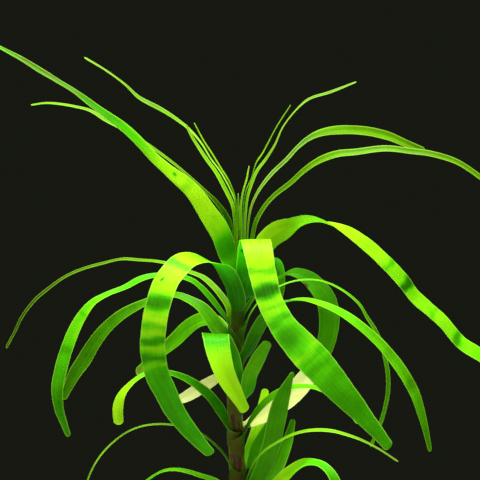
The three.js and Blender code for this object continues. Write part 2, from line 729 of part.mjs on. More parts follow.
// Where a leaf leaves the stem at that height, on the side that the next point of its path lies
function onStem(height, next) {
  const share = stemShareAt(height);
  const centre = stemPath.getPointAt(share);
  const outward = next.clone().sub(centre).setZ(0).normalize();
  return centre.addScaledVector(outward, stemRadiusAt(share, centre.z) + touchingGap + bladeThickness / 2);
}

function leafGeometry(points, { width, blade, turns, fold }) {
  const curve = new THREE.CatmullRomCurve3(points, false, "centripetal");
  const wanted = Math.round(curve.getLength() / stationSpacing);
  const stations = THREE.MathUtils.clamp(wanted, fewestStations, mostStations);
  const base = curve.getPointAt(0);
  const samples = curve.getSpacedPoints(crestSamples);
  const crest = samples.reduce((top, point) => (point.z > top.z ? point : top));
  const plan = crest.sub(base).setZ(0).normalize();
  const towardEye = plan.x >= 0 ? 1 : -1;
  const carried = plan.cross(new THREE.Vector3(0, 0, 1));
  const frames = [];
  for (let i = 0; i <= stations; i++) {
    const share = i / stations;
    const tangent = curve.getTangentAt(share);
    carried.addScaledVector(tangent, -carried.dot(tangent)).normalize();
    const turn = THREE.MathUtils.degToRad(along(turns, share)) * towardEye;
    const across = carried.clone().applyAxisAngle(tangent, turn);
    const face = across.clone().cross(tangent);
    frames.push({ centre: curve.getPointAt(share), tangent, across, face });
  }
  return swept(4, stations, (share, x, z) => {
    const { centre, tangent, across, face } = frames[Math.round(share * stations)];
    const half = (width * along(blade, share)) / 2;
    const sunk = centre.clone().addScaledVector(face, -fold * half);
    const atMiddle = Math.abs(x) < 0.5;
    if (!atMiddle) return centre.clone().addScaledVector(across, x * half);
    if (Math.abs(z) > 0.5) return sunk.addScaledVector(face, (z * bladeThickness) / 2);
    return share < 0.5 ? sunk : sunk.addScaledVector(tangent, tipReach);
  });
}

for (const [name, leaf] of Object.entries(leaves)) {
  const points = leaf.path.map(seen);
  if (leaf.node) points.unshift(onStem(seen([0, leaf.node, 0]).z, points[0]));
  add(name, leafGeometry(points, leaf), finishes[leaf.finish]);
}

lowLeaves.forEach((leaf, i) => {
  const points = lowLeafPath(leaf);
  points.unshift(onStem(leaf.height, points[0]));
  add(`leaf_low_${i + 1}`, leafGeometry(points, lowLeafBlade), finishes.green);
});

export default plant;
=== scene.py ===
import math

import bpy
import mathutils
import numpy as np
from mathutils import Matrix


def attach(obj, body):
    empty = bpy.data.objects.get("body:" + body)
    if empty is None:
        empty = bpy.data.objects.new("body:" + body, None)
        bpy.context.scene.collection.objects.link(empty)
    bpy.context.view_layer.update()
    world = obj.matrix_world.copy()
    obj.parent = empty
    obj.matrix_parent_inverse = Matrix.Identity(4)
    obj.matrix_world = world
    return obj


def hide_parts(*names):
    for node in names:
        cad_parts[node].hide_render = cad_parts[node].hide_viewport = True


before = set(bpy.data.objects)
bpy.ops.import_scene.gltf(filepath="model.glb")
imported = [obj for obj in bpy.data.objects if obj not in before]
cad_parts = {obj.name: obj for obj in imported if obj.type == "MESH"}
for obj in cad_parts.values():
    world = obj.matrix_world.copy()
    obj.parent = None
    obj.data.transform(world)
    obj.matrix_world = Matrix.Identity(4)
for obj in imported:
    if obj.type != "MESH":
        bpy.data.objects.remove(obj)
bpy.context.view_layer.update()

# Camera
# The plant was seen level, from the -Y side, in a square picture that spans 134.4 mm at the stem and is cut
# off 17 mm above the pot. Lengths here and below are in millimetres until a mesh is made of them.
MM = 0.001
picture_side = 480
span_at_stem = 134.4
mm_per_pixel = span_at_stem / picture_side
eye = np.array([0.6, -340.0, 132.0])
sensor_width = 36.0


def seen(column, row, nearer):
    """The place shown at that column and row of the picture, that much nearer the eye than the stem."""
    scale = mm_per_pixel * (1 + nearer / eye[1])
    middle = picture_side / 2
    return np.array([eye[0] + (column - middle) * scale, -nearer, eye[2] + (middle - row) * scale])


camera = bpy.data.objects.new("camera", bpy.data.cameras.new("camera"))
camera.data.sensor_width = sensor_width
camera.data.lens = sensor_width * -eye[1] / span_at_stem
camera.location = eye * MM
camera.rotation_euler = (math.radians(90), 0, 0)
bpy.context.scene.collection.objects.link(camera)
bpy.context.scene.camera = camera
bpy.context.scene.view_settings.view_transform = "Standard"


# Pot
# A small round grower's pot, moulded in one piece from dark plastic: a thin wall slotted for the roots, a rim
# that turns outward and down, and drain holes in the floor. It stands free.
pot_height = 48
pot_top_radius = 25
pot_foot_radius = 19
pot_wall = 1.1
rim_overhang = 1.7
rim_height = 2.6
rim_start = 46.2
slot_count = 14
slot_width = 3
slot_low = 9
slot_high = 37
drain_count = 6
drain_radius = 2
drain_ring = 11
merge_reach = 0.01 * MM


def new_object(name, points, faces=(), edges=()):
    mesh = bpy.data.meshes.new(name)
    mesh.from_pydata([tuple(point) for point in np.asarray(points, float) * MM], edges, faces)
    made = bpy.data.objects.new(name, mesh)
    bpy.context.scene.collection.objects.link(made)
    return made


def put(tree, kind, sockets=None, **settings):
    """Adds a node. sockets gives its inputs, by name or number, the values or the outputs that they take."""
    made = tree.nodes.new(kind)
    for setting, value in settings.items():
        setattr(made, setting, value)
    for key, value in (sockets or {}).items():
        if isinstance(value, bpy.types.NodeSocket):
            tree.links.new(value, made.inputs[key])
        else:
            made.inputs[key].default_value = value
    return made


def maths(tree, operation, *values):
    return put(tree, "ShaderNodeMath", dict(enumerate(values)), operation=operation).outputs[0]


def vectors(tree, operation, *values):
    return put(tree, "ShaderNodeVectorMath", dict(enumerate(values)), operation=operation).outputs[0]


def scaled(tree, vector, length):
    return put(tree, "ShaderNodeVectorMath", {0: vector, "Scale": length}, operation="SCALE").outputs[0]


def parts_of(tree, vector):
    return put(tree, "ShaderNodeSeparateXYZ", {0: vector}).outputs


def vector_of(tree, x, y, z):
    return put(tree, "ShaderNodeCombineXYZ", {0: x, 1: y, 2: z}).outputs[0]


def ramp(tree, value, start, end, low=0.0, high=1.0):
    """Goes smoothly from low to high while value goes from start to end."""
    sockets = {"Value": value, "From Min": start, "From Max": end, "To Min": low, "To Max": high}
    return put(tree, "ShaderNodeMapRange", sockets, interpolation_type="SMOOTHSTEP").outputs[0]


def blended(tree, share, first, second):
    """The first colour, turning into the second as share goes from 0 to 1."""
    return put(tree, "ShaderNodeMix", {0: share, 6: first, 7: second}, data_type="RGBA").outputs[2]


def new_tree(name, kind, inputs, outputs):
    """A node tree with those sockets, each (name, kind, first value), then its inputs and its outputs."""
    tree = bpy.data.node_groups.new(name, kind)
    for in_out, sockets in (("INPUT", inputs), ("OUTPUT", outputs)):
        for socket_name, socket_kind, *first in sockets:
            socket_type = "NodeSocket" + socket_kind
            made = tree.interface.new_socket(name=socket_name, in_out=in_out, socket_type=socket_type)
            if first:
                made.default_value = first[0]
    return tree, tree.nodes.new("NodeGroupInput").outputs, tree.nodes.new("NodeGroupOutput").inputs


def run_tree(piece, tree, values):
    """Puts the geometry tree on the piece as a modifier, with those inputs by name."""
    modifier = piece.modifiers.new(tree.name, "NODES")
    modifier.node_group = tree
    for item in tree.interface.items_tree:
        if item.in_out == "INPUT" and item.name in values:
            modifier[item.identifier] = values[item.name]


def as_plain_mesh(piece):
    """Gives the piece the mesh that its modifiers make, and takes them off."""
    graph = bpy.context.evaluated_depsgraph_get()
    mesh = bpy.data.meshes.new_from_object(piece.evaluated_get(graph), depsgraph=graph)
    piece.modifiers.clear()
    piece.data = mesh
    return mesh


def stand_in(piece, node):
    """The piece is fixed to the one body there is, and is shown instead of that solid."""
    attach(piece, "root")
    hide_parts(node)


mottle, given, result = new_tree(
    "mottle",
    "ShaderNodeTree",
    [
        ("Scale", "Float", 100.0),
        ("First", "Color"),
        ("Second", "Color"),
        ("Smoothest", "Float", 0.4),
        ("Roughest", "Float", 0.6),
    ],
    [("Colour", "Color"), ("Roughness", "Float"), ("Height", "Float")],
)
object_place = put(mottle, "ShaderNodeTexCoord").outputs["Object"]
coarse_grain = {"Vector": object_place, "Scale": given["Scale"], "Detail": 5.0}
coarse = put(mottle, "ShaderNodeTexNoise", coarse_grain).outputs[0]
fine_scale = maths(mottle, "MULTIPLY", given["Scale"], 7.0)
fine_grain = {"Vector": object_place, "Scale": fine_scale, "Detail": 3.0}
fine = put(mottle, "ShaderNodeTexNoise", fine_grain).outputs[0]
both = maths(mottle, "ADD", maths(mottle, "MULTIPLY", coarse, 0.65), maths(mottle, "MULTIPLY", fine, 0.35))
colour = blended(mottle, ramp(mottle, both, 0.36, 0.64), given["First"], given["Second"])
roughness = put(
    mottle,
    "ShaderNodeMapRange",
    {
        "Value": both,
        "From Min": 0.3,
        "From Max": 0.7,
        "To Min": given["Smoothest"],
        "To Max": given["Roughest"],
    },
).outputs[0]
mottle.links.new(colour, result["Colour"])
mottle.links.new(roughness, result["Roughness"])
mottle.links.new(both, result["Height"])


def solid_finish(name, first, second, scale, rough, relief):
    """An opaque mottled material, whose relief is the height of its fine surface in millimetres."""
    material = bpy.data.materials.new(name)
    material.use_nodes = True
    tree = material.node_tree
    pattern = put(
        tree,
        "ShaderNodeGroup",
        {
            "Scale": scale,
            "First": (*first, 1),
            "Second": (*second, 1),
            "Smoothest": rough[0],
            "Roughest": rough[1],
        },
        node_tree=mottle,
    ).outputs
    bump = put(tree, "ShaderNodeBump", {"Height": pattern["Height"], "Distance": relief * MM}).outputs[0]
    shader = tree.nodes["Principled BSDF"]
    tree.links.new(pattern["Colour"], shader.inputs["Base Color"])
    tree.links.new(pattern["Roughness"], shader.inputs["Roughness"])
    tree.links.new(bump, shader.inputs["Normal"])
    return material


ring, given, result = new_tree(
    "ring of copies",
    "GeometryNodeTree",
    [("Sector", "Geometry"), ("Copies", "Int", 6), ("Finish", "Material")],
    [("Ring", "Geometry")],
)
hub = put(ring, "GeometryNodeMeshCircle", {"Vertices": given["Copies"], "Radius": 0.0}).outputs[0]
step = maths(ring, "DIVIDE", math.tau, given["Copies"])
spin = maths(ring, "MULTIPLY", put(ring, "GeometryNodeInputIndex").outputs[0], step)
turned = {"Points": hub, "Instance": given["Sector"], "Rotation": vector_of(ring, 0.0, 0.0, spin)}
copies = put(ring, "GeometryNodeInstanceOnPoints", turned).outputs[0]
whole = put(ring, "GeometryNodeRealizeInstances", {0: copies}).outputs[0]
welded = put(ring, "GeometryNodeMergeByDistance", {0: whole, "Distance": merge_reach}).outputs[0]
finished = put(ring, "GeometryNodeSetMaterial", {0: welded, "Material": given["Finish"]}).outputs[0]
ring.links.new(finished, result["Ring"])

drilling, given, result = new_tree(
    "ring of holes",
    "GeometryNodeTree",
    [
        ("Plate", "Geometry"),
        ("Holes", "Int", 6),
        ("Ring Radius", "Float", 0.01),
        ("Hole Radius", "Float", 0.002),
        ("Depth", "Float", 0.01),
        ("Finish", "Material"),
    ],
    [("Drilled", "Geometry")],
)
circle = {"Vertices": given["Holes"], "Radius": given["Ring Radius"]}
centres = put(drilling, "GeometryNodeMeshCircle", circle).outputs[0]
pin = put(
    drilling,
    "GeometryNodeMeshCylinder",
    {"Vertices": 24, "Radius": given["Hole Radius"], "Depth": given["Depth"]},
).outputs[0]
pins = put(drilling, "GeometryNodeInstanceOnPoints", {"Points": centres, "Instance": pin}).outputs[0]
pins = put(drilling, "GeometryNodeRealizeInstances", {0: pins}).outputs[0]
solids = {0: given["Plate"], 1: pins}
drilled = put(drilling, "GeometryNodeMeshBoolean", solids, operation="DIFFERENCE").outputs[0]
finished = put(drilling, "GeometryNodeSetMaterial", {0: drilled, "Material": given["Finish"]}).outputs[0]
drilling.links.new(finished, result["Drilled"])


def pot_radius(height):
    return pot_foot_radius + (pot_top_radius - pot_foot_radius) * height / pot_height


# The skin is drawn as radius and height, from the middle of the floor up the wall and over the rim. The
# heights between low_shoulder and high_shoulder are those of the slot's straight sides.
slot_half = slot_width / 2
low_shoulder = slot_low + slot_half
high_shoulder = slot_high - slot_half
floor_skin = [(0, 0), (7, 0), (15, 0), (pot_foot_radius - 0.8, 0), (pot_foot_radius - 0.2, 0.25)]
lower_heights = np.linspace(0.9, low_shoulder, 6)
middle_heights = np.linspace(low_shoulder, high_shoulder, 7)[1:-1]
upper_heights = np.linspace(high_shoulder, rim_start, 6)
flange_height = pot_height - pot_wall
lip_radius = pot_top_radius + rim_overhang - pot_wall
rim_skin = [
    (pot_radius(rim_start) + 0.1, flange_height - 0.2),
    (pot_radius(rim_start) + 0.35, flange_height),
    (lip_radius - 0.15, flange_height),
    (lip_radius, flange_height - 0.2),
    (lip_radius, pot_height - rim_height),
]
wall_skin = [(pot_radius(height), height) for height in (*lower_heights, *middle_heights, *upper_heights)]
skin = floor_skin + wall_skin + rim_skin
slot_offsets = slot_half * np.sin(np.radians(np.linspace(-90, 90, 9)))
flank_strips = 4
half_sector = math.pi / slot_count


def column_angles(radius):
    """The angles of the sector's columns at that radius, closely spaced across the slot."""
    across_slot = np.arcsin(slot_offsets / max(radius, pot_foot_radius))
    left = np.linspace(-half_sector, across_slot[0], flank_strips + 1)[:-1]
    right = np.linspace(across_slot[-1], half_sector, flank_strips + 1)[1:]
    return [*left, *across_slot, *right]


def round_slot_ends(height, offset):
    """Heights below and above the slot are drawn to its round ends, in the columns that it crosses."""
    rise = slot_half - math.sqrt(max(slot_half**2 - offset**2, 0))
    if lower_heights[0] < height <= low_shoulder:
        share = (height - lower_heights[0]) / (low_shoulder - lower_heights[0])
        return height - share * (slot_half - rise)
    if high_shoulder <= height < rim_start:
        share = (rim_start - height) / (rim_start - high_shoulder)
        return height + share * (slot_half - rise)
    return height


sector_points = []
for radius, height in skin:
    for column, angle in enumerate(column_angles(radius)):
        place = column - flank_strips
        level = height
        if 0 < place < len(slot_offsets) - 1:
            level = round_slot_ends(height, slot_offsets[place])
        reach = radius if level == height else pot_radius(level)
        sector_points.append((reach * math.cos(angle), reach * math.sin(angle), level))
columns = 2 * flank_strips + len(slot_offsets)
sector_faces = []
for row in range(len(skin) - 1):
    within = low_shoulder <= skin[row][1] < high_shoulder
    for column in range(columns - 1):
        if within and flank_strips <= column < flank_strips + len(slot_offsets) - 1:
            continue
        corner = row * columns + column
        sector_faces.append((corner, corner + 1, corner + columns + 1, corner + columns))

pot_plastic = solid_finish(
    "moulded plastic", (0.022, 0.024, 0.027), (0.036, 0.038, 0.041), 260, rough=(0.34, 0.5), relief=0.008
)
pot = new_object("pot_moulded", sector_points, sector_faces)
run_tree(pot, ring, {"Copies": slot_count, "Finish": pot_plastic})
wall = pot.modifiers.new("wall", "SOLIDIFY")
wall.thickness = pot_wall * MM
wall.use_even_offset = True
run_tree(
    pot,
    drilling,
    {
        "Holes": drain_count,
        "Ring Radius": drain_ring * MM,
        "Hole Radius": drain_radius * MM,
        "Depth": 4 * pot_wall * MM,
        "Finish": pot_plastic,
    },
)
softened = pot.modifiers.new("soft edges", "BEVEL")
softened.width = 0.22 * MM
softened.segments = 2
softened.angle_limit = math.radians(45)
as_plain_mesh(pot)
pot.data.shade_smooth()
pot.data.set_sharp_from_angle(angle=math.radians(50))
stand_in(pot, "pot")


# Filling
# Fine baked-clay grains over the finer planting medium that fills the pot and shows through its slots. It is
# only poured in, and holds the stem.
grain_size = (0.55, 1.25)
grain_spacing = 1.25
grain_sink = 0.75
stem_clearance = 3.0

medium = solid_finish(
    "planting medium", (0.03, 0.018, 0.01), (0.085, 0.055, 0.032), 500, rough=(0.8, 1), relief=0.2
)
baked_clay = solid_finish(
    "baked clay", (0.13, 0.06, 0.03), (0.34, 0.2, 0.12), 700, rough=(0.75, 0.95), relief=0.05
)
tone = put(baked_clay.node_tree, "ShaderNodeAttribute", attribute_name="tone").outputs["Fac"]
clay_shader = baked_clay.node_tree.nodes["Principled BSDF"]
clay_colour = clay_shader.inputs["Base Color"].links[0].from_socket
toned = blended(baked_clay.node_tree, tone, clay_colour, (0.5, 0.44, 0.36, 1))
baked_clay.node_tree.links.new(toned, clay_shader.inputs["Base Color"])

grains, given, result = new_tree(
    "grains",
    "GeometryNodeTree",
    [
        ("Body", "Geometry"),
        ("Spacing", "Float", 0.001),
        ("Sink", "Float", 0.0005),
        ("Smallest", "Float", 0.0005),
        ("Largest", "Float", 0.001),
        ("Clear Round Stem", "Float", 0.003),
        ("Seed", "Int", 3),
        ("Finish", "Material"),
    ],
    [("Filled", "Geometry")],
)
poured = put(
    grains,
    "GeometryNodeDistributePointsOnFaces",
    {"Mesh": given["Body"], "Distance Min": given["Spacing"], "Density Max": 1.2e6, "Seed": given["Seed"]},
    distribute_method="POISSON",
).outputs
place = put(grains, "GeometryNodeInputPosition").outputs[0]
from_axis = vectors(grains, "MULTIPLY", place, (1.0, 1.0, 0.0))
reach = put(grains, "ShaderNodeVectorMath", {0: from_axis}, operation="LENGTH").outputs["Value"]
too_near = maths(grains, "LESS_THAN", reach, given["Clear Round Stem"])
kept = put(grains, "GeometryNodeDeleteGeometry", {0: poured["Points"], "Selection": too_near}).outputs[0]
sunk = scaled(grains, poured["Normal"], maths(grains, "MULTIPLY", given["Sink"], -1.0))
kept = put(grains, "GeometryNodeSetPosition", {0: kept, "Offset": sunk}).outputs[0]
lump = put(grains, "GeometryNodeMeshIcoSphere", {"Radius": 1.0, "Subdivisions": 2}).outputs[0]


def chance(low, high, seed):
    """A number, or three where low and high are vectors, drawn anew for each grain."""
    first, made, kind = (0, 0, "FLOAT_VECTOR") if isinstance(low, tuple) else (2, 1, "FLOAT")
    sockets = {"Seed": seed, first: low, first + 1: high}
    return put(grains, "FunctionNodeRandomValue", sockets, data_type=kind).outputs[made]


size_range = maths(grains, "SUBTRACT", given["Largest"], given["Smallest"])
size = maths(grains, "MULTIPLY_ADD", chance(0.0, 1.0, 5), size_range, given["Smallest"])
shape = scaled(grains, chance((0.75, 0.75, 0.6), (1.1, 1.1, 0.95), 11), size)
spin = chance((0.0, 0.0, 0.0), (math.tau, math.tau, math.tau), 17)
grain_copies = {"Points": kept, "Instance": lump, "Rotation": spin, "Scale": shape}
laid = put(grains, "GeometryNodeInstanceOnPoints", grain_copies).outputs[0]
laid = put(
    grains,
    "GeometryNodeStoreNamedAttribute",
    {0: laid, "Name": "tone", "Value": chance(0.0, 0.75, 23)},
    data_type="FLOAT",
    domain="INSTANCE",
).outputs[0]
laid = put(grains, "GeometryNodeRealizeInstances", {0: laid}).outputs[0]
dents = put(grains, "ShaderNodeTexNoise", {"Vector": place, "Scale": 1100.0, "Detail": 2.0}).outputs[0]
dent_depth = maths(grains, "MULTIPLY", maths(grains, "SUBTRACT", dents, 0.5), 0.7 * MM)
outward = put(grains, "GeometryNodeInputNormal").outputs[0]
dented = scaled(grains, outward, dent_depth)
laid = put(grains, "GeometryNodeSetPosition", {0: laid, "Offset": dented}).outputs[0]
laid = put(grains, "GeometryNodeSetMaterial", {0: laid, "Material": given["Finish"]}).outputs[0]
joined = put(grains, "GeometryNodeJoinGeometry")
grains.links.new(laid, joined.inputs[0])
grains.links.new(given["Body"], joined.inputs[0])
grains.links.new(joined.outputs[0], result["Filled"])

filling = bpy.data.objects.new("filling_poured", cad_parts["filling"].data.copy())
bpy.context.scene.collection.objects.link(filling)
filling.data.materials.clear()
filling.data.materials.append(medium)
weld = filling.modifiers.new("weld", "WELD")
weld.merge_threshold = merge_reach
as_plain_mesh(filling)
run_tree(
    filling,
    grains,
    {
        "Spacing": grain_spacing * MM,
        "Sink": grain_sink * MM,
        "Smallest": grain_size[0] * MM,
        "Largest": grain_size[1] * MM,
        "Clear Round Stem": stem_clearance * MM,
        "Seed": 3,
        "Finish": baked_clay,
    },
)
as_plain_mesh(filling)
stand_in(filling, "filling")


# Stem
# One upright stem, thinning to the growing tip, olive with dark red-brown streaks and a slight swelling at
# each node. Its side that faces the eye is darker red-brown, as painted shade. It is soft tissue, and stands
# in the filling.
stem_path = [
    (239, 640, 0), (239, 556, 0), (238, 480, 0), (235, 425, 0), (235.5, 360, 0), (237.5, 310, 0),
    (239, 258, 0),
]
stem_node_rows = [536, 506, 466, 428, 392, 356, 326]
stem_radius = 2.15
stem_top_radius = 0.9
stem_taper_start = 0.72
node_swell = 0.28
node_reach = 1.1


def smooth_path(points, spacing):
    """Places that far apart along a smooth curve through the points, without a loop at a sharp corner."""
    points = np.array(points, float)
    points = np.vstack([2 * points[0] - points[1], points, 2 * points[-1] - points[-2]])
    drawn = []
    for before, start, end, after in zip(points, points[1:], points[2:], points[3:]):
        first, middle, last = (
            math.sqrt(np.linalg.norm(b - a)) for a, b in ((before, start), (start, end), (end, after))
        )
        leaving = ((start - before) / first - (end - before) / (first + middle)) * middle + end - start
        arriving = ((after - end) / last - (after - start) / (middle + last)) * middle + end - start
        share = np.linspace(0, 1, 24, endpoint=False)[:, None]
        bend = 3 * (end - start) - 2 * leaving - arriving
        ease = 2 * (start - end) + leaving + arriving
        drawn.append(start + leaving * share + bend * share**2 + ease * share**3)
    drawn = np.vstack([*drawn, points[-2:-1]])
    reach = np.append(0, np.cumsum(np.linalg.norm(np.diff(drawn, axis=0), axis=1)))
    even = np.linspace(0, reach[-1], max(int(reach[-1] / spacing), 8) + 1)
    return np.stack([np.interp(even, reach, drawn[:, i]) for i in range(3)], axis=1)


stem_line = smooth_path([seen(*point) for point in stem_path], 0.4)
stem_node_heights = [seen(0, row, 0)[2] for row in stem_node_rows]


def stem_at(height):
    """The stem's centre and radius at that height."""
    centre = np.array([np.interp(height, stem_line[:, 2], stem_line[:, i]) for i in range(3)])
    share = (height - stem_line[0, 2]) / (stem_line[-1, 2] - stem_line[0, 2])
    taper = np.clip((share - stem_taper_start) / (1 - stem_taper_start), 0, 1)
    taper = taper * taper * (3 - 2 * taper)
    swell = max(math.exp(-(((height - node) / node_reach) ** 2)) for node in stem_node_heights)
    return centre, stem_radius + (stem_top_radius - stem_radius) * taper + node_swell * swell


def add_attribute(mesh, name, kind, values):
    made = mesh.attributes.new(name, kind, "POINT")
    made.data.foreach_set("vector" if kind == "FLOAT_VECTOR" else "value", np.asarray(values, float).ravel())


def spine_object(name, line):
    return new_object(name, line, edges=[(i, i + 1) for i in range(len(line) - 1)])


stem_skin = bpy.data.materials.new("stem skin")
stem_skin.use_nodes = True
tree = stem_skin.node_tree
around = put(tree, "ShaderNodeAttribute", attribute_name="stem").outputs["Vector"]
angle, height, _ = parts_of(tree, around)
front = maths(tree, "COSINE", angle)
streak_place = vector_of(tree, maths(tree, "SINE", angle), front, maths(tree, "MULTIPLY", height, 0.1))
streaks = put(
    tree,
    "ShaderNodeTexNoise",
    {"Vector": streak_place, "Scale": 2.2, "Detail": 5.0, "Roughness": 0.65},
).outputs[0]
# Painted shade: front makes the side that faces the eye darker red-brown, over the stem's own streaks.
red_streaks_and_front_shade = ramp(tree, maths(tree, "MULTIPLY_ADD", front, 0.16, streaks), 0.53, 0.7)
olive = blended(tree, ramp(tree, streaks, 0.4, 0.62), (0.17, 0.23, 0.012, 1), (0.4, 0.37, 0.03, 1))
tinted = blended(tree, red_streaks_and_front_shade, olive, (0.12, 0.045, 0.014, 1))
stem_shader = tree.nodes["Principled BSDF"]
tree.links.new(tinted, stem_shader.inputs["Base Color"])
stem_shader.inputs["Roughness"].default_value = 0.45
stem_shader.inputs["Specular IOR Level"].default_value = 0.3
fibre_place = vector_of(tree, maths(tree, "MULTIPLY", angle, 6.0), maths(tree, "MULTIPLY", height, 0.15), 0.0)
fibres = put(tree, "ShaderNodeTexNoise", {"Vector": fibre_place, "Scale": 1.0}).outputs[0]
bump = put(tree, "ShaderNodeBump", {"Height": fibres, "Distance": 0.06 * MM}).outputs[0]
tree.links.new(bump, stem_shader.inputs["Normal"])

stalk, given, result = new_tree(
    "stalk",
    "GeometryNodeTree",
    [
        ("Spine", "Geometry"),
        ("Sides", "Int", 28),
        ("Ridges", "Float", 7.0),
        ("Ridge Depth", "Float", 0.0001),
        ("Finish", "Material"),
    ],
    [("Stalk", "Geometry")],
)
centre_line = put(stalk, "GeometryNodeMeshToCurve", {0: given["Spine"]}).outputs[0]
profile_circle = {"Resolution": given["Sides"], "Radius": 1.0}
profile = put(stalk, "GeometryNodeCurvePrimitiveCircle", profile_circle).outputs[0]
girth = put(stalk, "GeometryNodeInputNamedAttribute", {"Name": "girth"}, data_type="FLOAT").outputs[0]
tube = put(
    stalk,
    "GeometryNodeCurveToMesh",
    {"Curve": centre_line, "Profile Curve": profile, "Scale": girth, "Fill Caps": True},
).outputs[0]
place = put(stalk, "GeometryNodeInputPosition").outputs[0]
middle = put(
    stalk, "GeometryNodeInputNamedAttribute", {"Name": "middle"}, data_type="FLOAT_VECTOR"
).outputs[0]
spoke = parts_of(stalk, vectors(stalk, "SUBTRACT", place, middle))
angle = maths(stalk, "ARCTAN2", spoke[0], maths(stalk, "MULTIPLY", spoke[1], -1.0))
height = maths(stalk, "DIVIDE", parts_of(stalk, place)[2], MM)
tube = put(
    stalk,
    "GeometryNodeStoreNamedAttribute",
    {0: tube, "Name": "stem", "Value": vector_of(stalk, angle, height, 0.0)},
    data_type="FLOAT_VECTOR",
).outputs[0]
wander = maths(stalk, "MULTIPLY_ADD", height, 0.02, maths(stalk, "MULTIPLY", angle, given["Ridges"]))
ridge = maths(stalk, "MULTIPLY", maths(stalk, "SINE", wander), given["Ridge Depth"])
flat_spoke = vectors(stalk, "NORMALIZE", vector_of(stalk, spoke[0], spoke[1], 0.0))
tube = put(stalk, "GeometryNodeSetPosition", {0: tube, "Offset": scaled(stalk, flat_spoke, ridge)}).outputs[0]
tube = put(stalk, "GeometryNodeSetShadeSmooth", {0: tube}).outputs[0]
tube = put(stalk, "GeometryNodeRealizeInstances", {0: tube}).outputs[0]
tube = put(stalk, "GeometryNodeSetMaterial", {0: tube, "Material": given["Finish"]}).outputs[0]
stalk.links.new(tube, result["Stalk"])

stem = spine_object("stem_grown", stem_line)
add_attribute(stem.data, "girth", "FLOAT", [stem_at(point[2])[1] * MM for point in stem_line])
add_attribute(stem.data, "middle", "FLOAT_VECTOR", stem_line * MM)
run_tree(stem, stalk, {"Sides": 28, "Ridges": 7.0, "Ridge Depth": 0.07 * MM, "Finish": stem_skin})
as_plain_mesh(stem)
stand_in(stem, "stem")


# Leaf blades
# Soft ribbons, thin as paper, that grow out of a sheath round the stem and arch over under their own weight.
# The midrib stands out on the underside, and fine parallel veins run from the base to the tip.
leaf_thickness = 0.2
midrib_height = 0.12
midrib_share = 0.03
midrib_reach = 0.3
ripple_share = 0.05
ripple_length = 9
seam_reach = 0.005 * MM
sheath_drops = (3.2, 2.1, 1.0, 0.0)
sheath_clasp = 1.5
sheath_clearances = (0.14, 0.2, 0.26, 0.32)
clasp_reach = 5.0
least_curl = 0.12
tip_reach = 1.0
base_reach = 8.0
base_round = 1.2
base_spacing = 0.5
row_spacing = 0.9
tip_stretch = 2
tip_rows = 11

# The old sheaths low on the stem are withered brown, and every sheath is painted darker, as shade, along
# the stem's middle where the eye sees it. A mark is bowed by so much, in millimetres, with so many radians
# per millimetre across the blade and along it.
browning_heights = (85, 112)
browning_strength = 0.6
browning_reach = 6.5
stem_columns, stem_rows = np.array(stem_path)[::-1, :2].T
stem_shade_strength = 0.55
stem_shade_reach = 2.3
bow_depth = 0.4
bow_across = 0.6
bow_along = 0.7

# How wide a blade is for its width, from the sheath to the tip. A leaf takes one, or one for each side.
ribbon = (0.62, 0.9, 1, 1, 1, 0.98, 0.94, 0.84, 0.3)
young = (0.6, 0.8, 1, 1, 0.9, 0.75, 0.5)
blunt = (0.6, 0.95, 1, 1, 1, 0.95, 0.62)

# What a mark changes, as its place among the three numbers that a blade's points carry: painted light and
# shade, brown with painted shade in it, and paleness
LIGHT_AND_SHADE = 0
BROWN_AND_SHADE = 1
PALE = 2

blade_tree, given, result = new_tree(
    "leaf blade",
    "GeometryNodeTree",
    [
        ("Spine", "Geometry"),
        ("Strips", "Int", 12),
        ("Thickness", "Float", 0.0002),
        ("Midrib", "Float", 0.0001),
        ("Ripple", "Float", 0.0002),
        ("Ripple Length", "Float", 0.01),
        ("Vein Width", "Float", 3.0),
        ("Seed", "Float", 0.0),
        ("Finish", "Material"),
    ],
    [("Leaf", "Geometry")],
)
stations = put(
    blade_tree, "GeometryNodeAttributeDomainSize", {0: given["Spine"]}, component="MESH"
).outputs[0]
grid = put(
    blade_tree,
    "GeometryNodeMeshGrid",
    {
        "Size X": 2.0,
        "Size Y": 1.0,
        "Vertices X": maths(blade_tree, "ADD", given["Strips"], 1.0),
        "Vertices Y": stations,
    },
).outputs[0]
side, share, _ = parts_of(blade_tree, put(blade_tree, "GeometryNodeInputPosition").outputs[0])
share = maths(blade_tree, "ADD", share, 0.5)
last_station = maths(blade_tree, "SUBTRACT", stations, 1.0)
station = maths(blade_tree, "ROUND", maths(blade_tree, "MULTIPLY", share, last_station))


def at_station(name):
    """What the spine carries under that name, read at each row of the grid."""
    if name == "position":
        carried = put(blade_tree, "GeometryNodeInputPosition")
    else:
        carried = put(
            blade_tree, "GeometryNodeInputNamedAttribute", {"Name": name}, data_type="FLOAT_VECTOR"
        )
    sampled = {0: given["Spine"], "Value": carried.outputs[0], "Index": station}
    read = put(blade_tree, "GeometryNodeSampleIndex", sampled, data_type="FLOAT_VECTOR", domain="POINT")
    return read.outputs[0]


